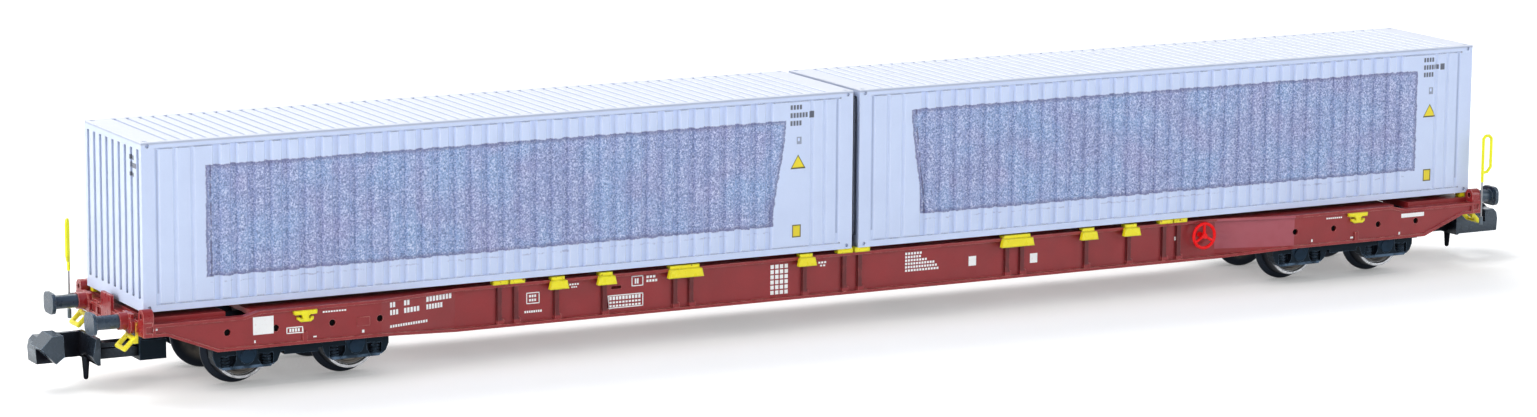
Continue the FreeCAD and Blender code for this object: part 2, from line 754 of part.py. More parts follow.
def rod_path(points, radius):
    """A round rod through a list of points, with a ball at each bend."""
    pieces = []
    numbers = [Vector(float(x), float(y), float(z)) for x, y, z in points]
    for index, (start, end) in enumerate(zip(numbers, numbers[1:])):
        run = end - start
        rod = doc.addObject("Part::Cylinder", "rod")
        bind(rod, "Radius", radius)
        rod.Height = run.Length
        locate(rod, *points[index], Rotation(Vector(0, 0, 1), run))
        pieces.append(rod)
    for point in points[1:-1] if points[0] != points[-1] else points[:-1]:
        ball = doc.addObject("Part::Sphere", "bend")
        bind(ball, "Radius", radius)
        pieces.append(locate(ball, *point))
    return fuse(*pieces) if len(pieces) > 1 else pieces[0]


def shunter_handles():
    """Bent grab handles under the buffers, each held by a strap on the headstock's face."""
    solids = []
    face = -D.headstock_x
    rod = D.handle_rod
    top_x = face - rod
    low_x = top_x - D.handle_out
    low_z = D.handle_top - D.handle_drop
    for side in (-1, 1):
        outer = side * D.handle_outer_y
        inner = side * D.handle_inner_y
        ring = rod_path([(top_x, outer, D.handle_top), (low_x, outer, low_z), (low_x, inner, low_z),
                         (top_x, inner, D.handle_top), (top_x, outer, D.handle_top)], rod)
        strap_y = side * D.handle_strap_y
        link = rod_path([(top_x, outer, D.handle_top), (top_x, strap_y, D.handle_top - 0.25)], rod * 1.2)
        strap = box(face - 0.2, strap_y - 0.14, D.handle_top - 0.4,
                    face, strap_y + 0.14, D.headstock_top - 0.15)
        post = box(face - 0.3, inner - 0.15, D.handle_top, face + 0.2, inner + 0.15, D.headstock_bottom)
        solids.append(fuse(ring, link, strap, post))
    return group(*solids)


for end_name, turned in ENDS:
    sub_part(shunter_handles(), f"shunter_handles_{end_name}", turned)


def handrail(stand_off, turn):
    """Thin rod beside the headstock's corner, with a long loop at its top and a thicker foot."""
    x = -D.headstock_x - stand_off
    y = D.rail_y
    radius = D.rail_rod
    width = D.rail_loop_width
    low = D.rail_top - D.rail_loop_height
    out_x = -width * math.cos(math.radians(turn))
    out_y = width * math.sin(math.radians(turn))
    corner = 0.28
    path = [(x, y, D.rail_sleeve_bottom), (x, y, D.rail_top - corner * width),
            (x + corner * out_x, y + corner * out_y, D.rail_top),
            (x + (1 - corner) * out_x, y + (1 - corner) * out_y, D.rail_top),
            (x + out_x, y + out_y, D.rail_top - corner * width), (x + out_x, y + out_y, low + 0.5 * width),
            (x + 0.6 * out_x, y + 0.6 * out_y, low), (x, y, low - 0.1)]
    loop = rod_path(path, radius)
    wire = cylinder(x, y, D.rail_foot_top, D.rail_wire, D.rail_sleeve_bottom - D.rail_foot_top)
    foot = cylinder(x, y, D.rail_foot_bottom, D.rail_foot_radius, D.rail_foot_top - D.rail_foot_bottom)
    bracket = box(x - 0.1, y - 0.32, D.headstock_top - 0.35, -D.headstock_x, y - 0.02, D.headstock_top - 0.2)
    hold = box(x - 0.1, y - 0.32, D.headstock_top - 0.35, x + 0.1, y + 0.1, D.headstock_top - 0.2)
    return fuse(loop, wire, foot, bracket, hold)


sub_part(handrail(0.7, -62), "handrail_rear_left")
sub_part(handrail(0.1, 0), "handrail_front_right", True)


def air_tanks():
    """Two air tanks under the spine and the brake cylinder between them."""
    solids = []
    top = D.spine_bottom
    for share in (-0.19, 0.072):
        x = share * D.container_length
        solids.append(cylinder(x, 0, top - D.tank_radius, D.tank_radius, D.tank_length, "X"))
    return group(*solids)


sub_part(air_tanks(), "air_tanks")


def bogie_pin():
    """Headed pin that hangs from the deck and carries the bogie's bolster."""
    underside = D.deck_top - D.deck_thickness
    head_top = D.bolster_bottom - D.bolster_gap
    head = cylinder(-D.bogie_x, 0, head_top - D.pin_head_height, D.pin_head_radius, D.pin_head_height)
    shaft = cylinder(-D.bogie_x, 0, head_top - 0.1, D.pin_radius, underside - head_top + 0.1)
    return fuse(head, shaft)


for end_name, turned in ENDS:
    sub_part(bogie_pin(), f"bogie_pin_{end_name}", turned)


# ------------------------------------------------------------------------------------------------
# Bogies
# ------------------------------------------------------------------------------------------------
def frame_side_inner():
    """Distance from the centre line to the inner face of a bogie's side frame."""
    return D.back_to_back / 2 + D.wheel_width + D.wheel_side_clearance


def bogie_frame():
    """One moulding: two side frames with springs and axle boxes, and the bolster between them."""
    inner = frame_side_inner()
    outer = inner + D.frame_side_width
    axle_z = D.flange_radius
    pieces = []
    cuts = []
    bolster_top = D.deck_top - D.deck_thickness - D.bolster_gap
    pieces.append(box(-D.bogie_x - D.bolster_half, -inner - 0.2, D.bolster_bottom,
                      -D.bogie_x + D.bolster_half, inner + 0.2, bolster_top))
    cuts.append(cylinder(-D.bogie_x, 0, D.bolster_bottom - 1, D.pin_radius + D.pin_clearance,
                         bolster_top - D.bolster_bottom + 2))
    for side in (-1, 1):
        def across(depth, proud=0):
            """y range of a piece that starts at the frame's inner face and is depth wide."""
            near, far = side * inner, side * (inner + depth + proud)
            return (near, far) if side > 0 else (far, near)

        half_bar = D.axle_spacing / 2
        low, high = across(D.frame_side_width)
        pieces.append(box(-D.bogie_x - half_bar, low, D.frame_bar_bottom, -D.bogie_x + half_bar, high,
                          D.frame_side_top))
        pieces.append(box(-D.bogie_x - D.bolster_half, low, D.frame_bar_bottom - 0.35,
                          -D.bogie_x + D.bolster_half, high, D.frame_side_top + 0.1))
        for end in (-1, 1):
            x = -D.bogie_x + end * D.axle_spacing / 2
            half = D.frame_block_half
            bottom, top = D.frame_side_bottom, D.frame_side_top
            low, high = across(D.frame_plate)
            pieces.append(prism("XZ", [(x - half + 0.1, top), (x - half + 0.1, bottom + 1.1),
                                       (x - half + 0.8, bottom + 0.2), (x + half - 0.8, bottom + 0.2),
                                       (x + half - 0.1, bottom + 1.1), (x + half - 0.1, top)], low, high))
            low, high = across(D.frame_side_width)
            for horn in (-1, 1):
                tip = x + horn * half
                back = tip - horn * 0.75
                pieces.append(prism("XZ", [(tip, top), (tip, bottom + 1.2), (tip - horn * 0.3, bottom + 0.5),
                                           (back, bottom + 0.15), (back, top)], low, high))
                spring_x = x + horn * D.spring_offset
                spring_y = side * (outer - D.spring_radius)
                pieces.append(cylinder(spring_x, spring_y, bottom + 0.1, D.spring_radius * 0.72,
                                       D.frame_bar_bottom - bottom))
                for turn_number in range(4):
                    pieces.append(cylinder(spring_x, spring_y, bottom + 0.32 + turn_number * 0.3,
                                           D.spring_radius, 0.16))
            pieces.append(box(x - half + 0.7, low, D.frame_bar_bottom, x + half - 0.7, high, top))
            pieces.append(prism("XZ", [(x - 2.65, bottom + 0.25), (x - 2.45, bottom), (x + 2.45, bottom),
                                       (x + 2.65, bottom + 0.25)], low, high))
            low, high = across(D.frame_side_width, 0.1)
            pieces.append(prism("XZ", [(x - 1.05, top), (x - 1.15, bottom + 0.75), (x - 1.55, bottom + 0.1),
                                       (x + 1.55, bottom + 0.1), (x + 1.15, bottom + 0.75), (x + 1.05, top)],
                                low, high))
            cover_y = -(outer + 0.2) if side < 0 else outer
            pieces.append(cylinder(x, cover_y, bottom + 1.15, 0.72, 0.2, "Y"))
            low, high = across(D.frame_side_width - 0.35)
            pieces.append(box(x - 0.9, low, top - 0.2, x + 0.9, high, top + 0.15))
            cuts.append(cylinder(x, -(outer - 0.4) if side < 0 else inner - 0.1, axle_z,
                                 D.journal_radius + D.journal_clearance, outer - inner - 0.3, "Y"))
    return cut(fuse(*pieces), *cuts)


for end_name, turned in ENDS:
    sub_part(bogie_frame(), f"bogie_frame_{end_name}", turned)


def revolved(label, profile, x):
    """A PartDesign body turned about the axle line at x: profile corners are (y, radius)."""
    body = doc.addObject("PartDesign::Body", label)
    plane = [item for item in body.Origin.OriginFeatures if item.Role == "YZ_Plane"][0]
    axis = [item for item in body.Origin.OriginFeatures if item.Role == "Y_Axis"][0]
    sketch = body.newObject("Sketcher::SketchObject", f"{label}_profile")
    sketch.AttachmentSupport = [(plane, "")]
    sketch.MapMode = "FlatFace"
    polygon(sketch, profile)
    turn = body.newObject("PartDesign::Revolution", f"{label}_turned")
    turn.Profile = sketch
    turn.ReferenceAxis = (axis, [""])
    turn.Angle = 360
    body.Tip = turn
    locate(body, x, 0, D.flange_radius)
    return body


def wheel_profile():
    """Half section of a left wheel as (y, radius): flange inside, tread, rim ring, groove and disc."""
    back = D.back_to_back / 2
    face = back + D.wheel_width
    groove = face - 0.25
    disc = face - 0.1
    tread_start = back + D.flange_width
    return [(back, D.axle_radius), (back, D.flange_radius - 0.15), (back + 0.15, D.flange_radius),
            (back + 0.35, D.flange_radius), (tread_start, D.tread_radius + 0.08),
            (face, D.tread_radius - 0.06), (face, D.tread_radius - 0.32), (groove, D.tread_radius - 0.42),
            (groove, D.tread_radius - 0.7), (disc, D.tread_radius - 0.8), (disc, D.axle_radius)]


def axle_profile():
    """Half section of an axle as (y, radius)."""
    face = D.back_to_back / 2 + D.wheel_width
    tip = frame_side_inner() + D.frame_side_width - 0.45
    shoulder = face + 0.08
    return [(-tip, 0), (tip, 0), (tip, D.journal_radius - 0.12), (tip - 0.2, D.journal_radius),
            (shoulder, D.journal_radius), (shoulder, D.axle_radius), (-shoulder, D.axle_radius),
            (-shoulder, D.journal_radius), (-tip + 0.2, D.journal_radius), (-tip, D.journal_radius - 0.12)]


def wheelset(number, x):
    """An axle and its two wheels, pressed on."""
    axle = revolved(f"axle_turned_{number}", axle_profile(), x)
    sub_part(axle, f"axle_{number}")
    left = revolved(f"wheel_left_{number}", wheel_profile(), x)
    right = revolved(f"wheel_right_{number}", [(-y, radius) for y, radius in wheel_profile()], x)
    sub_part(group(left, right), f"wheels_{number}")


for set_number, (bogie_side, axle_side) in enumerate(((-1, -1), (-1, 1), (1, -1), (1, 1)), start=1):
    wheelset(set_number, bogie_side * D.bogie_x + axle_side * D.axle_spacing / 2)


# ------------------------------------------------------------------------------------------------
# Couplings
# ------------------------------------------------------------------------------------------------
def coupler_mount():
    """Block under the end deck with the pin that the coupling swings on."""
    underside = D.deck_top - D.deck_thickness - 0.15
    block_bottom = D.shank_top + 0.2
    block = box(-D.coupling_pivot_x - 1.4, -1.5, block_bottom, -D.coupling_pivot_x + 1.4, 1.5, underside)
    pin = cylinder(-D.coupling_pivot_x, 0, D.coupling_bottom + 0.1, D.coupling_pin_radius,
                   block_bottom - D.coupling_bottom)
    return fuse(block, pin)


def coupler_socket():
    """Socket block that turns on the mount's pin and takes the coupling's shank."""
    half = D.socket_block_length / 2
    block = box(-D.coupling_pivot_x - half, -D.socket_block_half, D.shank_bottom - 0.4,
                -D.coupling_pivot_x + half, D.socket_block_half, D.shank_top + 0.05)
    hole = cylinder(-D.coupling_pivot_x, 0, D.shank_bottom - 1,
                    D.coupling_pin_radius + D.coupling_clearance, 4)
    return cut(block, hole)


def coupling():
    """Hook coupling: shank, cross wall, long wall on the left with a notch, hook nose and trip peg."""
    back_x = -D.coupling_back_x
    half = D.coupling_half_width
    wall = D.coupling_wall
    tip_x = -D.coupling_reach_x
    low, high = D.coupling_bottom, D.coupling_top
    socket_end = -D.coupling_pivot_x - D.socket_block_length / 2
    shank = box(back_x - 0.1, -D.shank_half, D.shank_bottom, socket_end, D.shank_half, D.shank_top)
    grooves = [box(back_x + 0.01, side * D.shank_half - 0.1, D.shank_groove_z,
                   socket_end + 1, side * D.shank_half + 0.1, D.shank_groove_z + 0.15) for side in (-1, 1)]
    cross_wall = prism("XZ", [(back_x, low), (back_x, high), (back_x - wall * 0.75, high),
                              (back_x - wall - 0.2, low + 0.85), (back_x - wall - 0.05, low + 0.4),
                              (back_x - wall * 0.5, low)], -half, half)
    notch_x = tip_x + D.coupling_notch_from
    notch_end = notch_x + D.coupling_notch
    long_wall = prism("XZ", [(notch_x - 0.2, low + 0.12), (back_x, low + 0.12), (back_x, high - 0.03),
                             (notch_end, high - 0.03), (notch_end, low + 1.2), (notch_x - 0.2, low + 1.2)],
                      half - wall, half)
    cheek = prism("XZ", [(tip_x + 0.4, low + 1.45), (tip_x + 0.5, low + 0.12), (notch_x, low + 0.12),
                         (notch_x, high - 0.03), (tip_x + 0.95, high - 0.03), (tip_x + 0.55, high - 0.45)],
                  D.coupling_nose_to - 0.3, half)
    nose = prism("XZ", [(tip_x, low + 2.1), (tip_x + 1.5, low + 0.53), (tip_x + 2.35, low + 1.15),
                        (tip_x + 2.25, high + 0.62), (tip_x + 1.18, high + 0.66)],
                 -D.coupling_nose_from, D.coupling_nose_to)
    peg_x = back_x - 0.6
    peg = cone(peg_x, 0, D.peg_tip_z + D.peg_tip_radius, D.peg_tip_radius, D.peg_radius,
               low + 0.5 - D.peg_tip_z - D.peg_tip_radius)
    peg_tip = doc.addObject("Part::Sphere", "tip")
    bind(peg_tip, "Radius", D.peg_tip_radius)
    locate(peg_tip, peg_x, 0, D.peg_tip_z + D.peg_tip_radius)
    return fuse(cut(shank, *grooves), cross_wall, long_wall, cheek, nose, peg, peg_tip)


for end_name, turned in ENDS:
    sub_part(coupler_mount(), f"coupler_mount_{end_name}", turned)
    sub_part(coupler_socket(), f"coupler_socket_{end_name}", turned)
    sub_part(coupling(), f"coupling_{end_name}", turned)


# ------------------------------------------------------------------------------------------------
# Containers
# ------------------------------------------------------------------------------------------------
def flute_cutter(start, end, outer, depth, pitch, flat, ramp):
    """Corners of a comb that cuts flutes from start to end into a wall whose face is at outer."""
    beyond = outer + 0.5
    count = int((end - start - ramp * 2 - flat) / pitch) + 1
    margin = (end - start - (count - 1) * pitch - flat - 2 * ramp) / 2
    points = [(start + margin - 0.2, beyond)]
    points.append((start + margin - 0.2, outer + 0.0))
    for index in range(count):
        left = start + margin + index * pitch
        points.append((left, outer))
        points.append((left + ramp, outer - depth))
        points.append((left + ramp + flat, outer - depth))
        points.append((left + 2 * ramp + flat, outer))
    points.append((end - margin + 0.2, outer))
    points.append((end - margin + 0.2, beyond))
    return points


def comb(points, place, direction):
    """Solid comb from corners (a, b), each placed by place(a, b) and extruded along direction."""
    corners = [place(a, b) for a, b in points]
    clean = [corners[0]]
    for corner in corners[1:]:
        if corner.distanceToPoint(clean[-1]) > 1e-6:
            clean.append(corner)
    face = Part.Face(Part.makePolygon(clean + [clean[0]]))
    return face.extrude(direction)


def container_combs(start_x):
    """All flutes of a container that starts at start_x: both sides, roof and the plain end wall."""
    length = float(D.container_length)
    half_width = float(D.container_width) / 2
    bottom = float(D.container_bottom)
    top = bottom + float(D.container_height)
    post = float(D.corner_post)
    line = float(D.rail_line)
    low = bottom + float(D.bottom_rail)
    high = top - float(D.top_rail)
    pitch, depth = float(D.flute_pitch), float(D.flute_depth)
    flat, ramp = float(D.flute_flat), float(D.flute_ramp)
    first = start_x + float(D.end_panel)
    last = start_x + length - float(D.door_panel)
    shallow, half_groove = float(D.panel_groove_depth), float(D.panel_groove_half)
    up = Vector(0, 0, high - low)
    solids = []
    for side in (-1, 1):
        points = flute_cutter(first, last, half_width, depth, pitch, flat, ramp)
        solids.append(comb(points, lambda a, b, s=side: Vector(a, s * b, low), up))
        groove_places = [start_x + near for near in (1.55, 3.35, 5.1)]
        groove_places += [start_x + length - near for near in (1.75, 3.25, 4.7)]
        for x in groove_places:
            outline = [(x - half_groove, half_width + 0.5), (x - half_groove, half_width),
                       (x - 0.05, half_width - shallow), (x + 0.05, half_width - shallow),
                       (x + half_groove, half_width), (x + half_groove, half_width + 0.5)]
            solids.append(comb(outline, lambda a, b, s=side: Vector(a, s * b, low), up))
        grooves = [(start_x + post, length - 2 * post, z, z + line, line) for z in (low, high - line)]
        for left, width, z0, z1, deep in grooves:
            groove = Part.makeBox(width, 0.5 + deep, z1 - z0)
            inner = half_width - deep if side > 0 else -half_width - 0.5
            groove.translate(Vector(left, inner, z0))
            solids.append(groove)
    roof_depth = float(D.roof_flute_depth)
    points = flute_cutter(start_x + 2.0, start_x + length - 2.0, top, roof_depth, float(D.roof_flute_pitch),
                          0.3, 0.12)
    roof_half = half_width - float(D.roof_edge)
    solids.append(comb(points, lambda a, b: Vector(a, -roof_half, b), Vector(0, 2 * roof_half, 0)))
    end_pitch = float(D.end_flute_pitch)
    end_depth = float(D.end_flute_depth)
    end_width = float(D.end_flute_width)
    for number in range(-4, 5):
        groove = Part.makeBox(0.5 + end_depth, end_width, high - low - 0.7)
        groove.translate(Vector(start_x - 0.5, number * end_pitch - end_width / 2, low + 0.55))
        solids.append(groove)
    return solids


def container_shell(start):
    """Hollow moulding: walls, roof, plain end, corner castings and the door end at +X."""
    end = start + D.container_length
    half = D.container_width / 2
    bottom = D.container_bottom
    top = bottom + D.container_height
    wall = D.container_wall
    post = D.corner_post
    body = box(start, -half, bottom, end, half, top)
    hollow = box(start + wall + D.end_flute_depth, -half + wall, bottom - 1,
                 end - wall - D.door_recess, half - wall, top - wall)
    combs = doc.addObject("Part::Feature", "flutes")
    combs.Shape = Part.Compound(container_combs(float(start)))
    door = box(end - D.door_recess, -half + D.casting_height + 0.2, bottom + D.bottom_rail,
               end + 1, half - D.casting_height - 0.2, top - D.top_rail)
    castings = []
    for x in (start + D.casting_inset, end - D.casting_inset):
        for side in (-1, 1):
            y = side * (half - D.casting_inset)
            castings.append(box(x - D.casting_bottom_length / 2, y - D.casting_bottom_width / 2, bottom - 1,
                                x + D.casting_bottom_length / 2, y + D.casting_bottom_width / 2,
                                bottom + D.casting_hole_depth))
            castings.append(cylinder(x, y, top - D.casting_hole_depth, D.casting_top_radius, 1))
            for z in (bottom + D.casting_height / 2, top - D.casting_height / 2):
                hole_y = -half - 0.2 if side < 0 else half - 0.2
                castings.append(cylinder(x, hole_y, z, D.casting_side_radius, 0.4, "Y"))
    corners = []
    for x0, x1 in ((start, start + post), (end - post, end)):
        for y0, y1 in ((-half, -half + post), (half - post, half)):
            corners.append(box(x0, y0, bottom, x1, y1, bottom + D.casting_height + 0.5))
    shell = cut(fuse(cut(body, hollow), *corners), combs, door, *castings)
    bars = []
    for share in (-0.66, -0.26, 0.26, 0.66):
        y = share * half
        bars.append(cylinder(end - D.door_recess, y, bottom + D.bottom_rail - 0.1, D.door_bar_radius,
                             D.container_height - D.bottom_rail - D.top_rail + 0.2))
    seam = box(end - D.door_recess - 0.15, -0.06, bottom + D.bottom_rail, end - D.door_recess + 0.2, 0.06,
               top - D.top_rail)
    return fuse(cut(shell, seam), *bars)


def container_floor(start):
    """Floor plate inside the bottom of the shell."""
    end = start + D.container_length
    half = D.container_width / 2
    gap = D.container_floor_gap
    z0 = D.container_bottom + 0.2
    corner = D.corner_post + gap
    plate = box(start + D.container_wall + D.end_flute_depth, -half + D.container_wall, z0,
                end - D.container_wall - D.door_recess, half - D.container_wall, z0 + D.container_floor)
    notches = []
    for x0, x1 in ((start, start + corner), (end - corner, end)):
        for y0, y1 in ((-half, -half + corner), (half - corner, half)):
            notches.append(box(x0, y0, z0 - 1, x1, y1, z0 + D.container_floor + 1))
    return cut(plate, *notches)


CONTAINER_STARTS = (("rear", -D.container_gap / 2 - D.container_length), ("front", D.container_gap / 2))
for end_name, start_x in CONTAINER_STARTS:
    sub_part(container_shell(start_x), f"container_{end_name}_shell")
    sub_part(container_floor(start_x), f"container_{end_name}_floor")


# ------------------------------------------------------------------------------------------------
# Check everything and write one STEP file for each sub-part
# ------------------------------------------------------------------------------------------------
doc.recompute()
for item in doc.Objects:
    if "Invalid" in item.State or "Error" in item.State:
        raise RuntimeError(f"{item.Label} ({item.TypeId}) failed: {item.State}")
for item in finished:
    shape = item.Shape
    if shape.isNull() or not shape.isValid() or not shape.Solids:
        raise RuntimeError(f"{item.Label} has no valid solid")

os.makedirs("parts", exist_ok=True)
for item in finished:
    item.Shape.exportStep(f"parts/{item.Label}.step")
    corners = item.Shape.BoundBox
    print(f"{item.Label:24s} solids {len(item.Shape.Solids):3d} volume {item.Shape.Volume:9.2f} "
          f"x {corners.XMin:7.2f} {corners.XMax:7.2f} y {corners.YMin:6.2f} {corners.YMax:6.2f} "
          f"z {corners.ZMin:6.2f} {corners.ZMax:6.2f}")
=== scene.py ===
"""Looks of the model container flat wagon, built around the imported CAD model.

Metres, in the frame of the CAD: +X front, +Y left, +Z up, floor at z = 0. Values of the wagon's pieces
and materials are in millimetres, and turned into metres by MM.
"""
import json
import math

import bmesh
import bpy
from mathutils import Matrix, Vector


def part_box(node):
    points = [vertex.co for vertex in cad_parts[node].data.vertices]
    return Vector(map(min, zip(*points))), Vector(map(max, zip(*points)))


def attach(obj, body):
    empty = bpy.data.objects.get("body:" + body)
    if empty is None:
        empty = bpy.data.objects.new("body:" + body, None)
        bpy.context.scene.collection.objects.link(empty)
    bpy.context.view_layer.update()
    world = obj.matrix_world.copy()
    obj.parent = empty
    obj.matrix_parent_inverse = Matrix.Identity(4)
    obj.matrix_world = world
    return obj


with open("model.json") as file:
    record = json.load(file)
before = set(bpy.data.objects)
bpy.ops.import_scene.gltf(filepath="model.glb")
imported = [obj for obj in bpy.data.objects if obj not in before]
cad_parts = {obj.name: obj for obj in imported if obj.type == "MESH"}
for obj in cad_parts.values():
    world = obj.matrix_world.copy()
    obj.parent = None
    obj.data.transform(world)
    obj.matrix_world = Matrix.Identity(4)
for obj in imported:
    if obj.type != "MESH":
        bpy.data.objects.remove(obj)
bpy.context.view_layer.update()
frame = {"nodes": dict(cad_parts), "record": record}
NODES = frame["nodes"]
MM = 0.001
# rays for shade in gaps and for rounded edges
GAP_SAMPLES = 6
EDGE_SAMPLES = 4

# ------------------------------------------------------------------------------------------------
# Camera, world, lamps and floor
# ------------------------------------------------------------------------------------------------
# degrees, from the wagon's right side and from level
CAMERA_AZIMUTH = -28.25
CAMERA_ELEVATION = 10.06
CAMERA_ROLL = 0.444
CAMERA_TARGET = Vector((-5.92, 0.0, 11.61)) * MM
CAMERA_DISTANCE = 481.5 * MM
CAMERA_LENS = 110.30
SENSOR_WIDTH = 36.0
CLIP_START, CLIP_END = 0.01, 20.0
# strength of the world as light on the wagon, and how bright gloss sees the room behind the camera
WORLD_LIGHT = 0.05
DARK_ROOM = 0.25
# direction to that room: its Y where it is darkest, and where the white begins
ROOM_EDGES = (-0.6, 0.0)
# the floor: half its side in metres, its colour, and its glow for the rays that see it
FLOOR_HALF = 3.0
FLOOR_COLOUR = (0.84, 0.845, 0.85, 1.0)
FLOOR_LIFT = 0.45
# contact shade: its reach in metres, its open shares from darkest to none, and the light left in it
FLOOR_CONTACT = 0.007
CONTACT_EDGES = (0.1, 0.85)
CONTACT_SHADE = 0.45
# soft boxes on three sides and above, named as the camera sees them: name, place and size in metres,
# power in watts, colour
LAMPS = (
    ("left", (-1.0, -0.16, 0.42), (0.6, 0.6), 7.1, (1.0, 0.985, 0.93)),
    ("right", (0.80, -0.72, 0.42), (0.6, 0.6), 4.8, (0.93, 0.97, 1.0)),
    ("front", (-0.40, -1.0, 0.45), (0.8, 0.6), 3.65, (0.93, 0.97, 1.0)),
    ("top", (-0.15, 0.62, 0.80), (1.0, 0.5), 9.2, (1.0, 1.0, 1.0)),
)


def combine(tree, operation, first, second):
    """A math node on an output and on another output or a number."""
    node = tree.nodes.new("ShaderNodeMath")
    node.operation = operation
    tree.links.new(first, node.inputs[0])
    if isinstance(second, bpy.types.NodeSocket):
        tree.links.new(second, node.inputs[1])
    else:
        node.inputs[1].default_value = second
    return node.outputs[0]


def ramp(tree, value, low, high, to_low, to_high):
    """Move a value from one range to another, in a straight line and clamped."""
    node = tree.nodes.new("ShaderNodeMapRange")
    tree.links.new(value, node.inputs["Value"])
    for socket, number in zip(node.inputs[1:5], (low, high, to_low, to_high)):
        socket.default_value = number
    return node.outputs[0]


def make_camera():
    """A camera that looks at the wagon from the right and the rear, with a slight roll."""
    azimuth, elevation, roll = map(math.radians, (CAMERA_AZIMUTH, CAMERA_ELEVATION, CAMERA_ROLL))
    back = Vector((math.sin(azimuth) * math.cos(elevation), -math.cos(azimuth) * math.cos(elevation),
                   math.sin(elevation)))
    level_right = (-back).cross(Vector((0, 0, 1))).normalized()
    level_up = back.cross(level_right)
    right = level_right * math.cos(roll) + level_up * math.sin(roll)
    up = back.cross(right)
    data = bpy.data.cameras.new("camera")
    data.lens = CAMERA_LENS
    data.sensor_width = SENSOR_WIDTH
    data.clip_start = CLIP_START
    data.clip_end = CLIP_END
    camera = bpy.data.objects.new("camera", data)
    bpy.context.scene.collection.objects.link(camera)
    turn = Matrix((right, up, back)).transposed().to_4x4()
    camera.matrix_world = Matrix.Translation(CAMERA_TARGET + back * CAMERA_DISTANCE) @ turn
    bpy.context.scene.camera = camera


def seen_only(tree):
    """1 for rays from the camera, from gloss and through glass, 0 for light on the object."""
    path = tree.nodes.new("ShaderNodeLightPath")
    seen = path.outputs["Is Camera Ray"]
    for name in ("Is Glossy Ray", "Is Transmission Ray"):
        seen = combine(tree, "MAXIMUM", seen, path.outputs[name])
    return seen


def make_world():
    """White studio. Gloss sees it dimmer on the -Y side, where the room behind a camera is dark."""
    world = bpy.data.worlds.new("studio")
    world.use_nodes = True
    tree = world.node_tree
    tree.nodes.clear()
    out = tree.nodes.new("ShaderNodeOutputWorld")
    mix = tree.nodes.new("ShaderNodeMixShader")
    light = tree.nodes.new("ShaderNodeBackground")
    light.inputs["Color"].default_value = (0.95, 0.97, 1.0, 1.0)
    light.inputs["Strength"].default_value = WORLD_LIGHT
    white = tree.nodes.new("ShaderNodeBackground")
    white.inputs["Color"].default_value = (1.0, 1.0, 1.0, 1.0)
    direction = tree.nodes.new("ShaderNodeTexCoord")
    split = tree.nodes.new("ShaderNodeSeparateXYZ")
    tree.links.new(direction.outputs["Generated"], split.inputs[0])
    room = ramp(tree, split.outputs["Y"], *ROOM_EDGES, DARK_ROOM, 1.0)
    path = tree.nodes.new("ShaderNodeLightPath")
    strength = combine(tree, "MAXIMUM", room, path.outputs["Is Camera Ray"])
    tree.links.new(strength, white.inputs["Strength"])
    tree.links.new(seen_only(tree), mix.inputs[0])
    tree.links.new(light.outputs[0], mix.inputs[1])
    tree.links.new(white.outputs[0], mix.inputs[2])
    tree.links.new(mix.outputs[0], out.inputs["Surface"])
    bpy.context.scene.world = world


def make_lamp(name, position, size, power, colour):
    """A soft rectangular lamp that looks at the wagon."""
    data = bpy.data.lights.new(name, "AREA")
    data.shape = "RECTANGLE"
    data.size, data.size_y = size
    data.energy = power
    data.color = colour
    lamp = bpy.data.objects.new(name, data)
    bpy.context.scene.collection.objects.link(lamp)
    lamp.location = position
    lamp.rotation_euler = Vector(position).to_track_quat("Z", "Y").to_euler()


def make_floor():
    """A large plain white floor that takes the wagon's shadow, with painted contact shade where the wagon is
    close to it.
    """
    corners = [(x * FLOOR_HALF, y * FLOOR_HALF, 0) for x, y in ((-1, -1), (1, -1), (1, 1), (-1, 1))]
    mesh = bpy.data.meshes.new("floor")
    mesh.from_pydata(corners, [], [(0, 1, 2, 3)])
    floor = bpy.data.objects.new("floor", mesh)
    bpy.context.scene.collection.objects.link(floor)
    material = bpy.data.materials.new("floor")
    material.use_nodes = True
    tree = material.node_tree
    shader = tree.nodes["Principled BSDF"]
    contact = tree.nodes.new("ShaderNodeAmbientOcclusion")
    contact.samples = GAP_SAMPLES
    contact.inputs["Distance"].default_value = FLOOR_CONTACT
    light_left = ramp(tree, contact.outputs["AO"], *CONTACT_EDGES, CONTACT_SHADE, 1.0)
    shade = tree.nodes.new("ShaderNodeMix")
    shade.data_type = "RGBA"
    shade.inputs[6].default_value = (0.0, 0.0, 0.0, 1.0)
    shade.inputs[7].default_value = FLOOR_COLOUR
    tree.links.new(light_left, shade.inputs[0])
    tree.links.new(shade.outputs[2], shader.inputs["Base Color"])
    shader.inputs["Roughness"].default_value = 0.6
    shader.inputs["Specular IOR Level"].default_value = 0.2
    shader.inputs["Emission Color"].default_value = (1.0, 1.0, 1.0, 1.0)
    lift = combine(tree, "MULTIPLY", seen_only(tree), FLOOR_LIFT)
    tree.links.new(combine(tree, "MULTIPLY", lift, light_left), shader.inputs["Emission Strength"])
    mesh.materials.append(material)


make_camera()
make_world()
make_floor()
for lamp in LAMPS:
    make_lamp(*lamp)


# ------------------------------------------------------------------------------------------------
# Material graphs
# ------------------------------------------------------------------------------------------------
def paint(red, green, blue):
    """A colour as it looks on a screen, 0 to 255, turned into the linear values that a shader takes."""
    def linear(value):
        value /= 255.0
        return value / 12.92 if value <= 0.04045 else ((value + 0.055) / 1.055) ** 2.4
    return (linear(red), linear(green), linear(blue), 1.0)


def middle(node):
    """Middle of a node along the wagon and above the floor, in millimetres."""
    low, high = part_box(node)
    return (low[0] + high[0]) / 2 / MM, (low[2] + high[2]) / 2 / MM


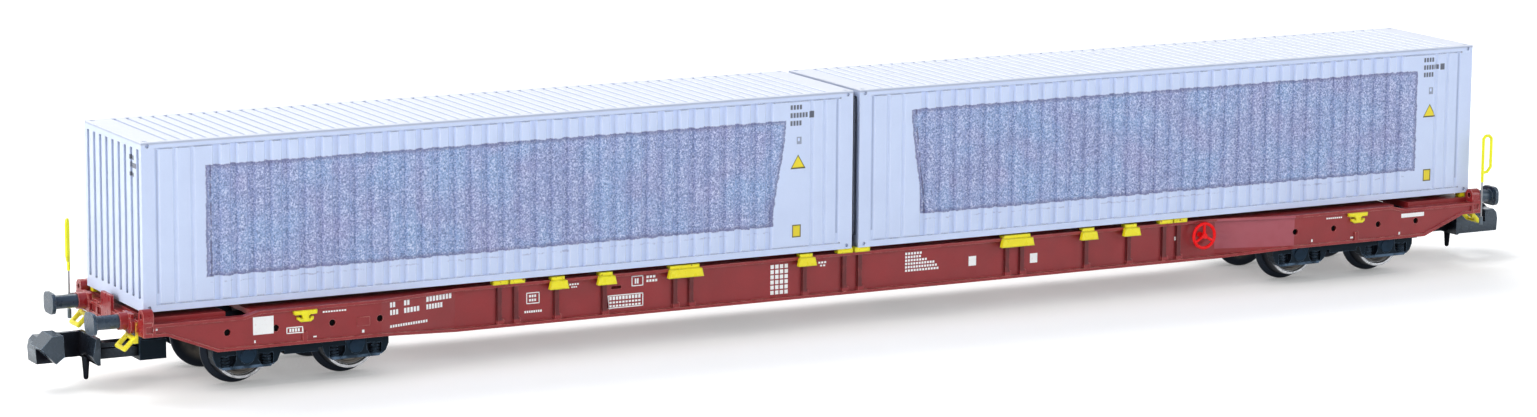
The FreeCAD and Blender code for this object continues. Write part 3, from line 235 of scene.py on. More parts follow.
class Graph:
    """One procedural material. Its coordinates are the CAD frame's, in millimetres."""

    def __init__(self, name):
        self.material = bpy.data.materials.new(name)
        self.material.use_nodes = True
        self.tree = self.material.node_tree
        self.shader = self.tree.nodes["Principled BSDF"]
        coordinates = self.add("ShaderNodeTexCoord")
        scaled = self.add("ShaderNodeVectorMath", operation="SCALE")
        scaled.inputs["Scale"].default_value = 1.0 / MM
        self.put(scaled.inputs[0], coordinates.outputs["Object"])
        self.place = scaled.outputs[0]
        split = self.add("ShaderNodeSeparateXYZ")
        self.put(split.inputs[0], self.place)
        self.x, self.y, self.z = split.outputs

    def add(self, kind, **settings):
        node = self.tree.nodes.new(kind)
        for key, value in settings.items():
            setattr(node, key, value)
        return node

    def put(self, socket, value):
        """Link a socket to another, or give it a number or a colour."""
        if isinstance(value, bpy.types.NodeSocket):
            self.tree.links.new(value, socket)
        else:
            socket.default_value = value

    def give(self, name, value):
        """Set one of the shader's own inputs."""
        self.put(self.shader.inputs[name], value)

    def cover(self, share, colour):
        """Lay a colour over the base colour, as far as share says."""
        below = self.shader.inputs["Base Color"].links[0].from_socket
        self.give("Base Color", self.mix(share, below, colour))

    def math(self, operation, first, second=0.0, clamp=False):
        node = self.add("ShaderNodeMath", operation=operation, use_clamp=clamp)
        self.put(node.inputs[0], first)
        self.put(node.inputs[1], second)
        return node.outputs[0]

    def plus(self, first, second):
        return self.math("ADD", first, second)

    def minus(self, first, second):
        return self.math("SUBTRACT", first, second)

    def both(self, first, second):
        return self.math("MULTIPLY", first, second)

    def either(self, first, second):
        return self.math("MAXIMUM", first, second)

    def lesser(self, first, second):
        return self.math("MINIMUM", first, second)

    def inverse(self, value):
        return self.minus(1.0, value)

    def size_of(self, value):
        """A value without its sign."""
        return self.math("ABSOLUTE", value)

    def mix(self, factor, first, second):
        """Blend two colours."""
        node = self.add("ShaderNodeMix", data_type="RGBA")
        self.put(node.inputs[0], factor)
        self.put(node.inputs[6], first)
        self.put(node.inputs[7], second)
        return node.outputs[2]

    def span(self, value, low, high, to_low=0.0, to_high=1.0):
        """Move a value from one range to another, smoothly and clamped."""
        node = self.add("ShaderNodeMapRange", interpolation_type="SMOOTHSTEP")
        for socket, number in zip(node.inputs, (value, low, high, to_low, to_high)):
            self.put(socket, number)
        return node.outputs[0]

    def above(self, value, edge, soft=0.03):
        """1 above the edge, 0 below."""
        return self.span(value, edge - soft, edge + soft)

    def within(self, value, low, high, soft=0.03):
        """1 between low and high, 0 outside."""
        return self.both(self.above(value, low, soft), self.inverse(self.above(value, high, soft)))

    def rectangle(self, across, left, right, low, high):
        """1 between left and right across, and between low and high above the floor."""
        return self.both(self.within(across, left, right), self.within(self.z, low, high))

    def blocks(self, across, left, right, low, high, count):
        """A row of plain blocks in such a rectangle."""
        pitch = (right - left) / count
        phase = self.math("FRACT", self.math("DIVIDE", self.minus(across, left), pitch))
        block = self.within(phase, 0.04, 0.76 if count > 1 else 0.96, 0.03)
        return self.both(block, self.rectangle(across, left, right, low, high))

    def from_axis(self, centre):
        """Distance from an axis along Y, given as its x and z."""
        across = self.minus(self.x, centre[0])
        up = self.minus(self.z, centre[1])
        return self.math("SQRT", self.plus(self.both(across, across), self.both(up, up)))

    def noise(self, scale, detail=2.0, roughness=0.5, stretch=(1.0, 1.0, 1.0)):
        """Noise from 0 to 1 with scale bumps to the millimetre."""
        mapping = self.add("ShaderNodeMapping")
        self.put(mapping.inputs["Vector"], self.place)
        mapping.inputs["Scale"].default_value = stretch
        node = self.add("ShaderNodeTexNoise")
        self.put(node.inputs["Vector"], mapping.outputs[0])
        node.inputs["Scale"].default_value = scale
        node.inputs["Detail"].default_value = detail
        node.inputs["Roughness"].default_value = roughness
        return node.outputs[0]

    def ragged(self, scale, reach):
        """A wander of half of reach to each side, for ragged edges."""
        return self.both(self.minus(self.noise(scale, 5.0, 0.75), 0.5), reach)

    def edges(self, radius):
        """1 along sharp edges and 0 on flats, within about radius millimetres."""
        flat = self.add("ShaderNodeNewGeometry")
        dot = self.add("ShaderNodeVectorMath", operation="DOT_PRODUCT")
        self.put(dot.inputs[0], self.rounded_normal(radius))
        self.put(dot.inputs[1], flat.outputs["Normal"])
        return self.span(dot.outputs["Value"], 0.995, 0.86)

    def rounded_normal(self, radius):
        """The surface's direction, as if its edges were rounded."""
        bevel = self.add("ShaderNodeBevel", samples=EDGE_SAMPLES)
        bevel.inputs["Radius"].default_value = radius * MM
        return bevel.outputs[0]

    def openness(self, reach):
        """1 where the surface lies open and 0 deep in narrow gaps, seen within reach millimetres."""
        occlusion = self.add("ShaderNodeAmbientOcclusion", samples=GAP_SAMPLES)
        occlusion.inputs["Distance"].default_value = reach * MM
        return occlusion.outputs["AO"]

    def relief(self, height, depth, edge=0.05):
        """Bump of the given depth in millimetres, over edges that catch the light."""
        bump = self.add("ShaderNodeBump")
        bump.inputs["Strength"].default_value = 1.0
        bump.inputs["Distance"].default_value = depth * MM
        self.put(bump.inputs["Height"], height)
        self.put(bump.inputs["Normal"], self.rounded_normal(edge))
        self.give("Normal", bump.outputs[0])

    def speckled(self, colour, spread, scale):
        """A colour with soft broad patches and fine grain in it."""
        dark = tuple(channel * (1 - spread) for channel in colour[:3]) + (1.0,)
        light = tuple(min(1.0, channel * (1 + spread)) for channel in colour[:3]) + (1.0,)
        broad = self.noise(scale, 3.0)
        fine = self.noise(scale * 22, 2.0)
        value = self.plus(self.both(broad, 0.65), self.both(fine, 0.35))
        return self.mix(self.span(value, 0.32, 0.68), dark, light)


# colour of the painted shade in crevices and gaps
PAINTED_SHADE = paint(24, 24, 30)


def moulding(name, colour, edge_colour, roughness=0.42, edge_share=0.55, grain=0.006,
             spread=0.09, edge_radius=0.09, shine=0.5, tint=(1.0, 1.0, 1.0), crevice_shade=None, rounding=0.05):
    """Painted or self-coloured moulding: patchy colour, painted highlights along its edges, fine grain and
    uneven gloss.

    The argument after tint sets the painted shade in crevices: how far crevices are seen from, the open
    shares where the shade begins and ends, and how dark it gets.
    """
    graph = Graph(name)
    graph.give("Base Color", graph.speckled(colour, spread, 0.35))
    # painted highlight: the edge colour laid in patches along sharp edges
    lightened = graph.both(graph.edges(edge_radius), graph.span(graph.noise(1.6, 3.0), 0.3, 0.6))
    graph.cover(graph.both(lightened, edge_share), edge_colour)
    # painted shade: crevices and narrow gaps are darkened
    if crevice_shade:
        reach, open_share, shut_share, darkness = crevice_shade
        deep = graph.span(graph.openness(reach), open_share, shut_share)
        graph.cover(graph.both(deep, darkness), PAINTED_SHADE)
    graph.give("Roughness", graph.span(graph.noise(1.1, 4.0), 0.25, 0.75, roughness - 0.07, roughness + 0.1))
    graph.give("Specular IOR Level", shine)
    graph.give("Specular Tint", (*tint, 1.0))
    graph.relief(graph.noise(9.0, 3.0), grain, rounding)
    return graph


# ------------------------------------------------------------------------------------------------
# Materials of the wagon
# ------------------------------------------------------------------------------------------------
FRAME_RED = paint(146, 38, 42)
# painted shade in the frame's crevices
FRAME_CREVICE_SHADE = (0.8, 0.42, 0.05, 0.9)


def frame_material():
    """Red-brown satin paint with painted highlights on its edges and painted shade in its crevices."""
    return moulding("frame_red", FRAME_RED, paint(206, 120, 112), 0.38, crevice_shade=FRAME_CREVICE_SHADE).material


def headstock_material():
    """The same paint, with stronger painted highlights on the headstocks' many edges and painted shade in
    their crevices.
    """
    return moulding("headstock_red", paint(150, 34, 38), paint(236, 172, 166), 0.3, edge_share=0.85,
                    edge_radius=0.12, crevice_shade=(1.5, 0.45, 0.08, 0.92)).material


# ribs of a sill: distance from the middle in container lengths, and half the spread of a pair
SILL_RIBS = ((0.0, 0.9), (0.2533, 0.9), (0.3681, 0.0), (0.437, 0.0), (0.5066, 0.9))
LONE_RIB = -0.0722
# painted shade beside a rib: half its width, and its bottom and top
RIB_SHADE_HALF = 0.32
RIB_SHADE_Z = (4.15, 7.5)
# painted sheen on the slanted stretch: how far it faces the wagon's end, and its bottom and top
SLANTED_FACING = (-0.4, -0.06)
SLANTED_Z = (4.5, 7.75)


def sill_material(node):
    """The frame's paint, with painted shade along the ribs of the middle part and a painted sheen on the
    slanted stretch.
    """
    graph = moulding(node + "_red", FRAME_RED, paint(220, 140, 132), 0.36, edge_share=0.8, edge_radius=0.11,
                     crevice_shade=FRAME_CREVICE_SHADE)
    low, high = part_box("container_rear_shell")
    length = (high[0] - low[0]) / MM
    turned = -1.0 if node.endswith("_left") else 1.0
    lone = turned * LONE_RIB * length
    # painted shade beside each rib, in patches
    rib_shade = graph.within(graph.x, lone - RIB_SHADE_HALF, lone + RIB_SHADE_HALF, 0.07)
    from_middle = graph.size_of(graph.x)
    for share, spread in SILL_RIBS:
        for x in {share * length - spread, share * length + spread}:
            rib_shade = graph.either(rib_shade, graph.within(from_middle, x - RIB_SHADE_HALF, x + RIB_SHADE_HALF, 0.07))
    rib_shade = graph.both(rib_shade, graph.within(graph.z, *RIB_SHADE_Z, 0.1))
    rib_shade = graph.both(rib_shade, graph.span(graph.noise(1.3, 3.0), 0.2, 0.5, 0.45, 0.85))
    graph.cover(rib_shade, paint(84, 12, 18))
    # painted sheen on the faces of the slanted stretch that turn towards the wagon's end
    facing = graph.add("ShaderNodeSeparateXYZ")
    graph.put(facing.inputs[0], graph.add("ShaderNodeTexCoord").outputs["Normal"])
    slanted = graph.within(graph.both(facing.outputs[0], turned), *SLANTED_FACING, 0.01)
    slanted = graph.both(slanted, graph.within(graph.z, *SLANTED_Z, 0.05))
    painted_sheen = graph.both(slanted, graph.span(graph.noise(0.7, 3.0), 0.2, 0.6, 0.65, 0.85))
    graph.cover(painted_sheen, paint(173, 88, 101))
    return graph.material


def running_gear_material(name="running_gear_black"):
    """Blue-black matt plastic of the bogies and the parts below the frame."""
    return moulding(name, paint(22, 33, 44), paint(126, 152, 178), 0.4,
                    edge_share=0.7, grain=0.01, shine=0.12, tint=(0.72, 0.9, 1.0),
                    crevice_shade=(1.1, 0.6, 0.12, 0.97))


# a bogie's side frame: radius of an axle box's cover, height of the bottom strap, depth from the outside
COVER_RADIUS = 0.98
STRAP_HEIGHT = 0.3
SIDE_FRAME_DEPTH = 0.7


def bogie_material(node):
    """The same plastic, bluer on the axle boxes' round covers, with a painted highlight along the frame's
    bottom straps.
    """
    graph = running_gear_material(node + "_black")
    low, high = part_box(node)
    axles = ("axle_1", "axle_2") if high[0] < 0 else ("axle_3", "axle_4")
    near = 0.0
    for axle in axles:
        distance = graph.from_axis(middle(axle))
        near = graph.either(near, graph.inverse(graph.above(distance, COVER_RADIUS, 0.04)))
    outside = graph.above(graph.size_of(graph.y), high[1] / MM - SIDE_FRAME_DEPTH, 0.1)
    patchy = graph.span(graph.noise(1.4, 3.0), 0.2, 0.6, 0.5, 1.0)
    graph.cover(graph.both(graph.both(near, outside), patchy), paint(36, 56, 76))
    # painted highlight: a lighter blue along the bottom straps on the outside
    strap = graph.within(graph.z, low[2] / MM, low[2] / MM + STRAP_HEIGHT, 0.05)
    lightened = graph.span(graph.noise(0.9, 3.0), 0.35, 0.6, 0.15, 0.9)
    graph.cover(graph.both(graph.both(strap, outside), lightened), paint(104, 128, 154))
    return graph.material


# the inside of a hook: how far around it counts, and the open shares where the gloss is whole and gone
HOOK_REACH = 4.0
HOOK_OPEN, HOOK_SHUT = 0.97, 0.7


def coupling_material():
    """Smooth blue-black plastic of the couplings, with painted highlights on its edges, and painted shade and
    less gloss inside the hook.
    """
    graph = moulding("coupling_black", paint(42, 54, 66), paint(170, 194, 218), 0.25,
                     edge_share=0.9, grain=0.003, tint=(0.72, 0.88, 1.0),
                     crevice_shade=(HOOK_REACH, HOOK_OPEN, HOOK_SHUT, 1.0), rounding=0.12)
    # under the painted shade set above, the hook's inside also loses its gloss
    outside = graph.openness(HOOK_REACH)
    graph.give("Specular IOR Level", graph.span(outside, HOOK_SHUT, HOOK_OPEN, 0.0, 0.4))
    graph.give("Coat Weight", graph.span(outside, HOOK_SHUT, HOOK_OPEN, 0.0, 0.6))
    graph.give("Coat Roughness", 0.12)
    graph.give("Coat Tint", (0.85, 0.93, 1.0, 1.0))
    return graph.material


def buffer_material():
    """Smooth slate-grey plastic."""
    return moulding("buffer_grey", paint(50, 64, 80), paint(160, 178, 194), 0.28,
                    shine=0.6, tint=(0.8, 0.92, 1.0), rounding=0.14).material


# the yellow is thin above the deck's edge, and the straps that hold the shunter's handles turn red-orange
DECK_EDGE_Z = 7.75
HANDLE_STRAP_X = 77.1
HANDLE_STRAP_Z = 6.3


def fitting_material():
    """Bright yellow paint brushed on a red moulding: the red shows where the paint is thin above the deck's
    edge, and the handles' straps are red-orange.
    """
    graph = moulding("fitting_yellow", paint(255, 238, 26), paint(255, 252, 130), 0.3, spread=0.05,
                     rounding=0.26)
    bare = graph.span(graph.noise(2.4, 4.0, 0.6), 0.6, 0.7)
    graph.cover(graph.both(bare, graph.above(graph.z, DECK_EDGE_Z, 0.04)), paint(150, 88, 40))
    strap = graph.both(graph.above(graph.size_of(graph.x), HANDLE_STRAP_X, 0.02),
                       graph.above(graph.z, HANDLE_STRAP_Z, 0.25))
    strap = graph.both(strap, graph.span(graph.noise(3.0, 3.0), 0.3, 0.6, 0.6, 1.0))
    graph.cover(strap, paint(176, 62, 34))
    return graph.material


# heights of a handrail where the yellow sleeve begins and where the grey foot ends
SLEEVE_BOTTOM = 9.55
FOOT_TOP = 5.8


def handrail_material():
    """Yellow sleeve and loop above a bare steel wire, and a grey foot below the frame."""
    graph = moulding("handrail_yellow", paint(255, 252, 20), paint(255, 255, 130), 0.42, spread=0.04)
    sleeve = graph.above(graph.z, SLEEVE_BOTTOM, 0.04)
    foot = graph.inverse(graph.above(graph.z, FOOT_TOP, 0.04))
    bare = graph.mix(foot, paint(150, 152, 156), paint(92, 106, 118))
    graph.cover(graph.inverse(sleeve), bare)
    graph.give("Metallic", graph.math("SUBTRACT", graph.inverse(sleeve), foot, clamp=True))
    return graph.material


def brake_wheel_material():
    """Bright red plastic."""
    return moulding("brake_wheel_red", paint(255, 10, 18), paint(255, 120, 116), 0.42, spread=0.06,
                    shine=0.25).material


def steel_material():
    """Bright turned steel with fine rings and a few stains."""
    graph = Graph("turned_steel")
    graph.give("Base Color", graph.speckled(paint(176, 178, 182), 0.12, 0.8))
    graph.give("Metallic", 1.0)
    graph.give("Roughness", graph.span(graph.noise(2.0, 4.0), 0.2, 0.8, 0.22, 0.42))
    graph.relief(graph.noise(6.0, 2.0, stretch=(1.0, 6.0, 1.0)), 0.004)
    return graph.material


# a wheel: radii of its bright ring and of its worn middle, and depth of its outer face
RING = (2.42, 2.8)
WORN_RADIUS = 2.5
WHEEL_FACE_DEPTH = 0.5
TURNING_LINES = 110.0


def wheel_material(name, node):
    """Blackened wheel with a bright turned ring near its rim."""
    graph = Graph(name)
    radius = graph.from_axis(middle(node))
    outside = graph.above(graph.size_of(graph.y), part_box(node)[1][1] / MM - WHEEL_FACE_DEPTH, 0.02)
    wear = graph.span(graph.noise(1.8, 4.0), 0.25, 0.6, 0.55, 1.0)
    bright = graph.both(graph.both(outside, graph.within(radius, *RING)), wear)
    lightened = graph.both(graph.inverse(graph.above(radius, WORN_RADIUS, 0.5)),
                      graph.span(graph.noise(0.5, 3.0), 0.35, 0.65, 0.2, 0.9))
    graph.give("Base Color", graph.speckled(paint(34, 40, 50), 0.2, 0.6))
    graph.cover(lightened, paint(122, 116, 108))
    graph.cover(bright, paint(206, 208, 212))
    graph.give("Metallic", 0.85)
    graph.give("Roughness", graph.span(bright, 0.0, 1.0, 0.42, 0.24))
    graph.relief(graph.math("SINE", graph.both(radius, TURNING_LINES)), 0.0006, 0.06)
    return graph.material


# ------------------------------------------------------------------------------------------------
# Materials of the containers
# ------------------------------------------------------------------------------------------------
CONTAINER_WHITE = paint(210, 223, 254)
EDGE_WHITE = paint(244, 246, 255)
# how deep the reliefs of a side wall and of the plain end wall go
SIDE_DEPTH = 0.45
END_DEPTH = 0.5
GAP_REACH = 3.0
# printed area: left and right edge at its bottom and top, from the container's left end as seen from
# outside, and its bottom and top above the floor
PRINT_AREA = {
    "container_rear_shell": {"left": (6.4, 6.4), "right": (67.1, 68.5), "z": (11.2, 21.9)},
    "container_front_shell": {"left": (7.3, 6.1), "right": (69.0, 69.0), "z": (11.2, 22.1)},
}
# the second dark line inside the print's left edge, and the broken strokes below the print
SECOND_LINE = (0.4, 0.58)
STREAK_BELOW = (0.62, 0.5)
# painted shadows along the corner posts, from the plain end and from the door end, and their bottom
POST_SHADOWS = ((1.46, 1.66), (1.64, 1.86))
POST_SHADOW_Z = 10.0
# the marking column's place from the container's left end, and its marks, from the column's start:
# left, right, bottom, top, blocks
MARK_COLUMN = {"container_rear_shell": 69.0, "container_front_shell": 69.8}
MARK_ROWS = (
    (0.0, 1.4, 22.98, 23.45, 4),
    (0.0, 2.05, 22.15, 22.65, 6),
    (2.15, 2.75, 22.05, 22.72, 1),
    (0.0, 1.35, 21.35, 21.85, 4),
)
# a bare plate with its rim and yellow face, and a small outlined field: left, right, bottom, top
PLATE_RIM = (0.3, 1.3, 9.95, 11.25)
PLATE_FACE = (0.42, 1.18, 10.07, 11.13)
SMALL_FIELD = (0.75, 1.3, 19.45, 20.2)
SMALL_FIELD_INSIDE = (0.87, 1.1, 19.75, 20.08)
# a bare three-cornered plate: its middle, bottom, top, slope and rim
TRIANGLE_MIDDLE = 0.92
TRIANGLE_BOTTOM = 16.95
TRIANGLE_TOP = 18.4
TRIANGLE_SLOPE = 1.68
TRIANGLE_RIM = 0.15
# marks on the plain end wall: right and left edge, bottom, top, blocks
END_MARKS = (
    (-5.75, -4.4, 22.55, 23.0, 1),
    (-6.35, -4.6, 21.8, 22.3, 1),
    (-5.7, -4.45, 20.95, 21.35, 1),
)


def shade_gaps(graph, at_end):
    """Shade in the gap between the containers and in the plain end wall's flutes."""
    openness = graph.openness(GAP_REACH)
    flutes = graph.both(at_end, graph.span(openness, 0.42, 0.12))
    deep = graph.either(graph.span(openness, 0.28, 0.08), flutes)
    graph.cover(graph.both(deep, 0.97), PAINTED_SHADE)


def lay_print(graph, area, along, on_side):
    """A faded and speckled area with ragged edges, and broken strokes below it."""
    bottom, top = area["z"]
    ragged_x = graph.ragged(1.6, 0.55)
    x = graph.plus(along, ragged_x)
    z = graph.plus(graph.z, graph.ragged(1.2, 0.5))
    height = graph.span(graph.z, bottom, top)
    left, right = (graph.plus(start, graph.both(height, end - start)) for start, end in
                   (area["left"], area["right"]))
    inside_x = graph.lesser(graph.minus(x, left), graph.minus(right, x))
    inside_z = graph.lesser(graph.minus(z, bottom), graph.minus(top, z))
    inside = graph.lesser(inside_x, inside_z)

    patches = graph.span(graph.noise(0.16, 3.0), 0.35, 0.65)
    tint = graph.mix(patches, paint(149, 161, 207), paint(146, 172, 218))
    tint = graph.mix(graph.span(graph.noise(0.3, 2.0), 0.45, 0.7, 0.0, 0.3), tint, paint(170, 160, 206))
    speck = graph.noise(6.5, 2.0, 0.8)
    tint = graph.mix(graph.span(speck, 0.52, 0.64, 0.0, 0.85), tint, paint(228, 234, 255))
    tint = graph.mix(graph.span(speck, 0.47, 0.35, 0.0, 0.75), tint, paint(88, 96, 140))
    border = graph.inverse(graph.above(inside, 0.28, 0.22))
    tint = graph.mix(graph.both(border, 0.6), tint, paint(104, 100, 142))
    second = graph.both(graph.within(graph.minus(x, left), *SECOND_LINE, 0.05),
                        graph.span(graph.noise(0.8, 3.0), 0.35, 0.5))
    tint = graph.mix(graph.both(second, 0.75), tint, paint(74, 70, 110))
    graph.cover(graph.both(graph.above(inside, 0.0, 0.05), on_side), tint)

    below, above = STREAK_BELOW
    streak = graph.within(graph.plus(z, graph.both(ragged_x, 0.5)), bottom - below, bottom - above, 0.05)
    streak = graph.both(streak, graph.above(inside_x, 0.4, 0.1))
    broken = graph.both(on_side, graph.span(graph.noise(0.9, 5.0, 0.8), 0.46, 0.58))
    graph.cover(graph.both(graph.both(streak, broken), 0.4), paint(120, 116, 158))


def lay_post_shadows(graph, from_start, from_end, on_side, top):
    """Soft lines of painted shadow where the side walls meet the corner posts."""
    at_start, at_end = POST_SHADOWS
    lines = graph.either(graph.within(from_start, *at_start, 0.05), graph.within(from_end, *at_end, 0.05))
    lines = graph.both(graph.both(lines, on_side), graph.within(graph.z, POST_SHADOW_Z, top - 0.75, 0.05))
    graph.cover(graph.both(lines, 0.4), paint(116, 128, 168))


def lay_marks(graph, column, on_side):
    """Plain marks, a bare plate and a bare three-cornered plate beside the printed area."""
    marks = 0.0
    for row in MARK_ROWS:
        marks = graph.either(marks, graph.blocks(column, *row))
    graph.cover(graph.both(graph.both(marks, on_side), 0.85), paint(48, 48, 58))
    graph.cover(graph.both(graph.rectangle(column, *PLATE_RIM), on_side), paint(96, 88, 40))
    graph.cover(graph.both(graph.rectangle(column, *PLATE_FACE), on_side), paint(236, 214, 40))
    lean = graph.both(graph.size_of(graph.minus(column, TRIANGLE_MIDDLE)), TRIANGLE_SLOPE)
    under = graph.minus(graph.minus(TRIANGLE_TOP, lean), graph.z)
    triangle = graph.lesser(under, graph.minus(graph.z, TRIANGLE_BOTTOM))
    graph.cover(graph.both(graph.above(triangle, 0.0), on_side), paint(72, 66, 34))
    graph.cover(graph.both(graph.above(triangle, TRIANGLE_RIM), on_side), paint(244, 222, 40))
    small = graph.math("SUBTRACT", graph.rectangle(column, *SMALL_FIELD),
                       graph.rectangle(column, *SMALL_FIELD_INSIDE), clamp=True)
    graph.cover(graph.both(graph.both(small, on_side), 0.6), paint(84, 88, 104))


def lay_end_marks(graph, at_end):
    """Plain marks at the top of the plain end wall."""
    marks = 0.0
    for row in END_MARKS:
        marks = graph.either(marks, graph.blocks(graph.y, *row))
    graph.cover(graph.both(graph.both(marks, at_end), 0.85), paint(60, 62, 76))


def whiten_roof(graph, top):
    """Painted light on the roof's top, in a paler colour, and painted shade in its grooves, in a bluer one.
    """
    # painted light on the roof's top
    roof = graph.above(graph.z, top - 0.25, 0.1)
    graph.cover(roof, paint(226, 232, 248))
    # painted shade in the roof's grooves
    graph.cover(graph.both(roof, graph.inverse(graph.above(graph.z, top - 0.08, 0.03))), paint(176, 186, 212))


def container_material(node):
    """Pale plastic with a faded, speckled printed area, plain blocks for marks and bare plates."""
    low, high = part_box(node)
    half_width, top = high[1] / MM, high[2] / MM
    graph = moulding(node + "_white", CONTAINER_WHITE, EDGE_WHITE, 0.36,
                     edge_share=0.7, grain=0.003, spread=0.02, edge_radius=0.12)
    # distance along a side wall from its left end, as seen from outside
    from_start = graph.minus(graph.x, low[0] / MM)
    from_end = graph.minus(high[0] / MM, graph.x)
    far_side = graph.math("GREATER_THAN", graph.y, 0.0)
    along = graph.plus(from_start, graph.both(far_side, graph.minus(from_end, from_start)))
    on_side = graph.above(graph.size_of(graph.y), half_width - SIDE_DEPTH)
    at_end = graph.inverse(graph.above(from_start, END_DEPTH, 0.02))

    shade_gaps(graph, at_end)
    lay_print(graph, PRINT_AREA[node], along, on_side)
    lay_post_shadows(graph, from_start, from_end, on_side, top)
    lay_marks(graph, graph.minus(along, MARK_COLUMN[node]), on_side)
    lay_end_marks(graph, at_end)
    whiten_roof(graph, top)
    return graph.material


def container_floor_material():
    """Dark unpainted plastic."""
    return moulding("container_floor", paint(62, 66, 74), paint(110, 116, 126), 0.55, grain=0.012).material


# ------------------------------------------------------------------------------------------------
# Give every CAD node its material
# ------------------------------------------------------------------------------------------------
SLOT_MATERIALS = {
    "frame": frame_material(),
    "buffer": buffer_material(),
    "fitting": fitting_material(),
    "handrail": handrail_material(),
    "brake_wheel": brake_wheel_material(),
    "running_gear": running_gear_material().material,
    "steel": steel_material(),
    "container_floor": container_floor_material(),
}
COUPLING_BLACK = coupling_material()
HEADSTOCK_RED = headstock_material()


def node_material(node, slot):
    """The material of one node: its own where it has marks, wear, painted highlights or painted shade that
    are its own, else its slot's.
    """
    if node.startswith("coupling_"):
        return COUPLING_BLACK
    if node.startswith("headstock_"):
        return HEADSTOCK_RED
    if node.startswith("side_sill_"):
        return sill_material(node)
    if node.startswith("bogie_frame_"):
        return bogie_material(node)
    if slot == "wheel":
        return wheel_material(node + "_steel", node)
    if slot == "container":
        return container_material(node)
    return SLOT_MATERIALS[slot]


for entry in frame["record"]["subparts"]:
    mesh = NODES[entry["node"]].data
    mesh.materials.clear()
    mesh.materials.append(node_material(entry["node"], entry["material_slot"]))


# ------------------------------------------------------------------------------------------------
# Pieces that the scene adds
# ------------------------------------------------------------------------------------------------
def add_piece(name, builder, material, body):
    """Turn a bmesh into a new piece of the wagon, with its material and body."""
    data = bpy.data.meshes.new(name)
    builder.to_mesh(data)
    builder.free()
    piece = bpy.data.objects.new(name, data)
    bpy.context.scene.collection.objects.link(piece)
    data.materials.append(material)
    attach(piece, body)


def on_web(node, side, x, z):
    """Where a ray from outside meets a sill, in metres, and the direction that the sill faces there.

    x and z are in millimetres, and side is -1 for the right sill and 1 for the left.
    """
    start = Vector((x * MM, side * 0.02, z * MM))
    hit, point, normal, _ = NODES[node].ray_cast(start, Vector((0, -side, 0)))
    if not hit:
        raise RuntimeError(f"nothing of {node} lies at x {x:.2f}, z {z:.2f} mm")
    return point, normal


# ------------------------------------------------------------------------------------------------
# Plain printed marks and bare plates on the sills
# ------------------------------------------------------------------------------------------------
# bare white plates on the right sill: left, right, bottom, top
SILL_PLATES = (
    (-66.15, -64.05, 5.48, 7.2),
    (13.9, 14.8, 5.15, 6.15),
    (21.3, 22.2, 4.85, 5.85),
    (39.1, 39.9, 5.8, 6.2),
    (66.8, 69.8, 6.42, 6.86),
)
# outlined fields: left, right, bottom, top
SILL_FIELDS = (
    (-62.75, -61.05, 5.28, 5.92),
    (-36.5, -35.05, 5.5, 6.65),
    (-27.6, -23.65, 4.25, 5.6),
    (-24.95, -23.65, 6.3, 7.35),
)
# rows of small blocks: left, right, bottom, top, blocks
SILL_ROWS = (
    (-59.0, -56.5, 7.02, 7.18, 9),
    (-76.25, -75.75, 6.8, 6.98, 1),
    (-66.05, -65.9, 4.7, 4.98, 1),
    (-60.0, -59.65, 4.72, 4.86, 1),
    (-54.95, -54.7, 4.72, 5.0, 1),
    (-51.9, -51.2, 6.85, 7.35, 2),
    (-50.25, -49.5, 6.85, 7.35, 2),
    (-47.6, -44.5, 6.85, 7.35, 8),
    (-51.9, -50.85, 6.1, 6.6, 3),
    (-50.25, -48.35, 6.1, 6.6, 5),
    (-47.6, -45.6, 6.1, 6.6, 6),
    (-51.9, -47.4, 4.86, 5.12, 15),
    (-36.7, -34.75, 4.62, 4.84, 8),
    (-24.6, -24.1, 6.55, 7.08, 2),
    (-62.45, -61.3, 5.44, 5.76, 4),
    (-36.2, -35.35, 6.15, 6.4, 3),
    (-36.2, -35.35, 5.75, 6.0, 3),
    (-31.8, -30.7, 6.98, 7.16, 4),
    (-31.6, -30.9, 6.72, 6.86, 3),
    (-27.4, -23.85, 5.1, 5.45, 10),
    (-27.4, -23.85, 4.75, 4.95, 10),
    (-27.4, -23.85, 4.4, 4.6, 10),
    (-23.3, -22.2, 7.0, 7.25, 3),
    (-23.3, -22.0, 6.6, 6.85, 4),
    *((-9.3, -7.15, bottom, bottom + 0.4, 4) for bottom in (6.75, 6.22, 5.69, 5.16, 4.63, 4.1)),
    (-3.8, -2.8, 6.85, 7.05, 3),
    (-3.6, -2.9, 6.55, 6.72, 2),
    (6.35, 8.4, 6.9, 7.15, 6),
    (6.35, 8.3, 6.55, 6.78, 6),
    (6.35, 9.0, 6.2, 6.43, 8),
    (6.35, 9.9, 5.85, 6.08, 11),
    (6.35, 10.2, 5.5, 5.73, 12),
    (6.35, 10.4, 5.15, 5.38, 12),
    (57.0, 59.1, 7.02, 7.18, 8),
    (55.1, 55.3, 4.7, 5.0, 1),
    (60.2, 60.55, 4.68, 4.88, 1),
    (66.5, 66.7, 4.62, 4.9, 1),
)
BLOCK_SHARE = 0.72
FIELD_LINE = 0.1
PRINT_PROUD = 0.015
# the longest stretch of a mark between two of its corners, so that it follows the sill's bends
MARK_STEP = 0.6


def mark_material():
    """White print, thin enough in places for the paint below to show."""
    graph = Graph("mark_white")
    thin = graph.span(graph.noise(3.0, 3.0), 0.25, 0.42, 0.22, 0.0)
    graph.give("Base Color", graph.mix(thin, paint(255, 255, 255), paint(206, 160, 156)))
    graph.give("Roughness", 0.5)
    return graph.material


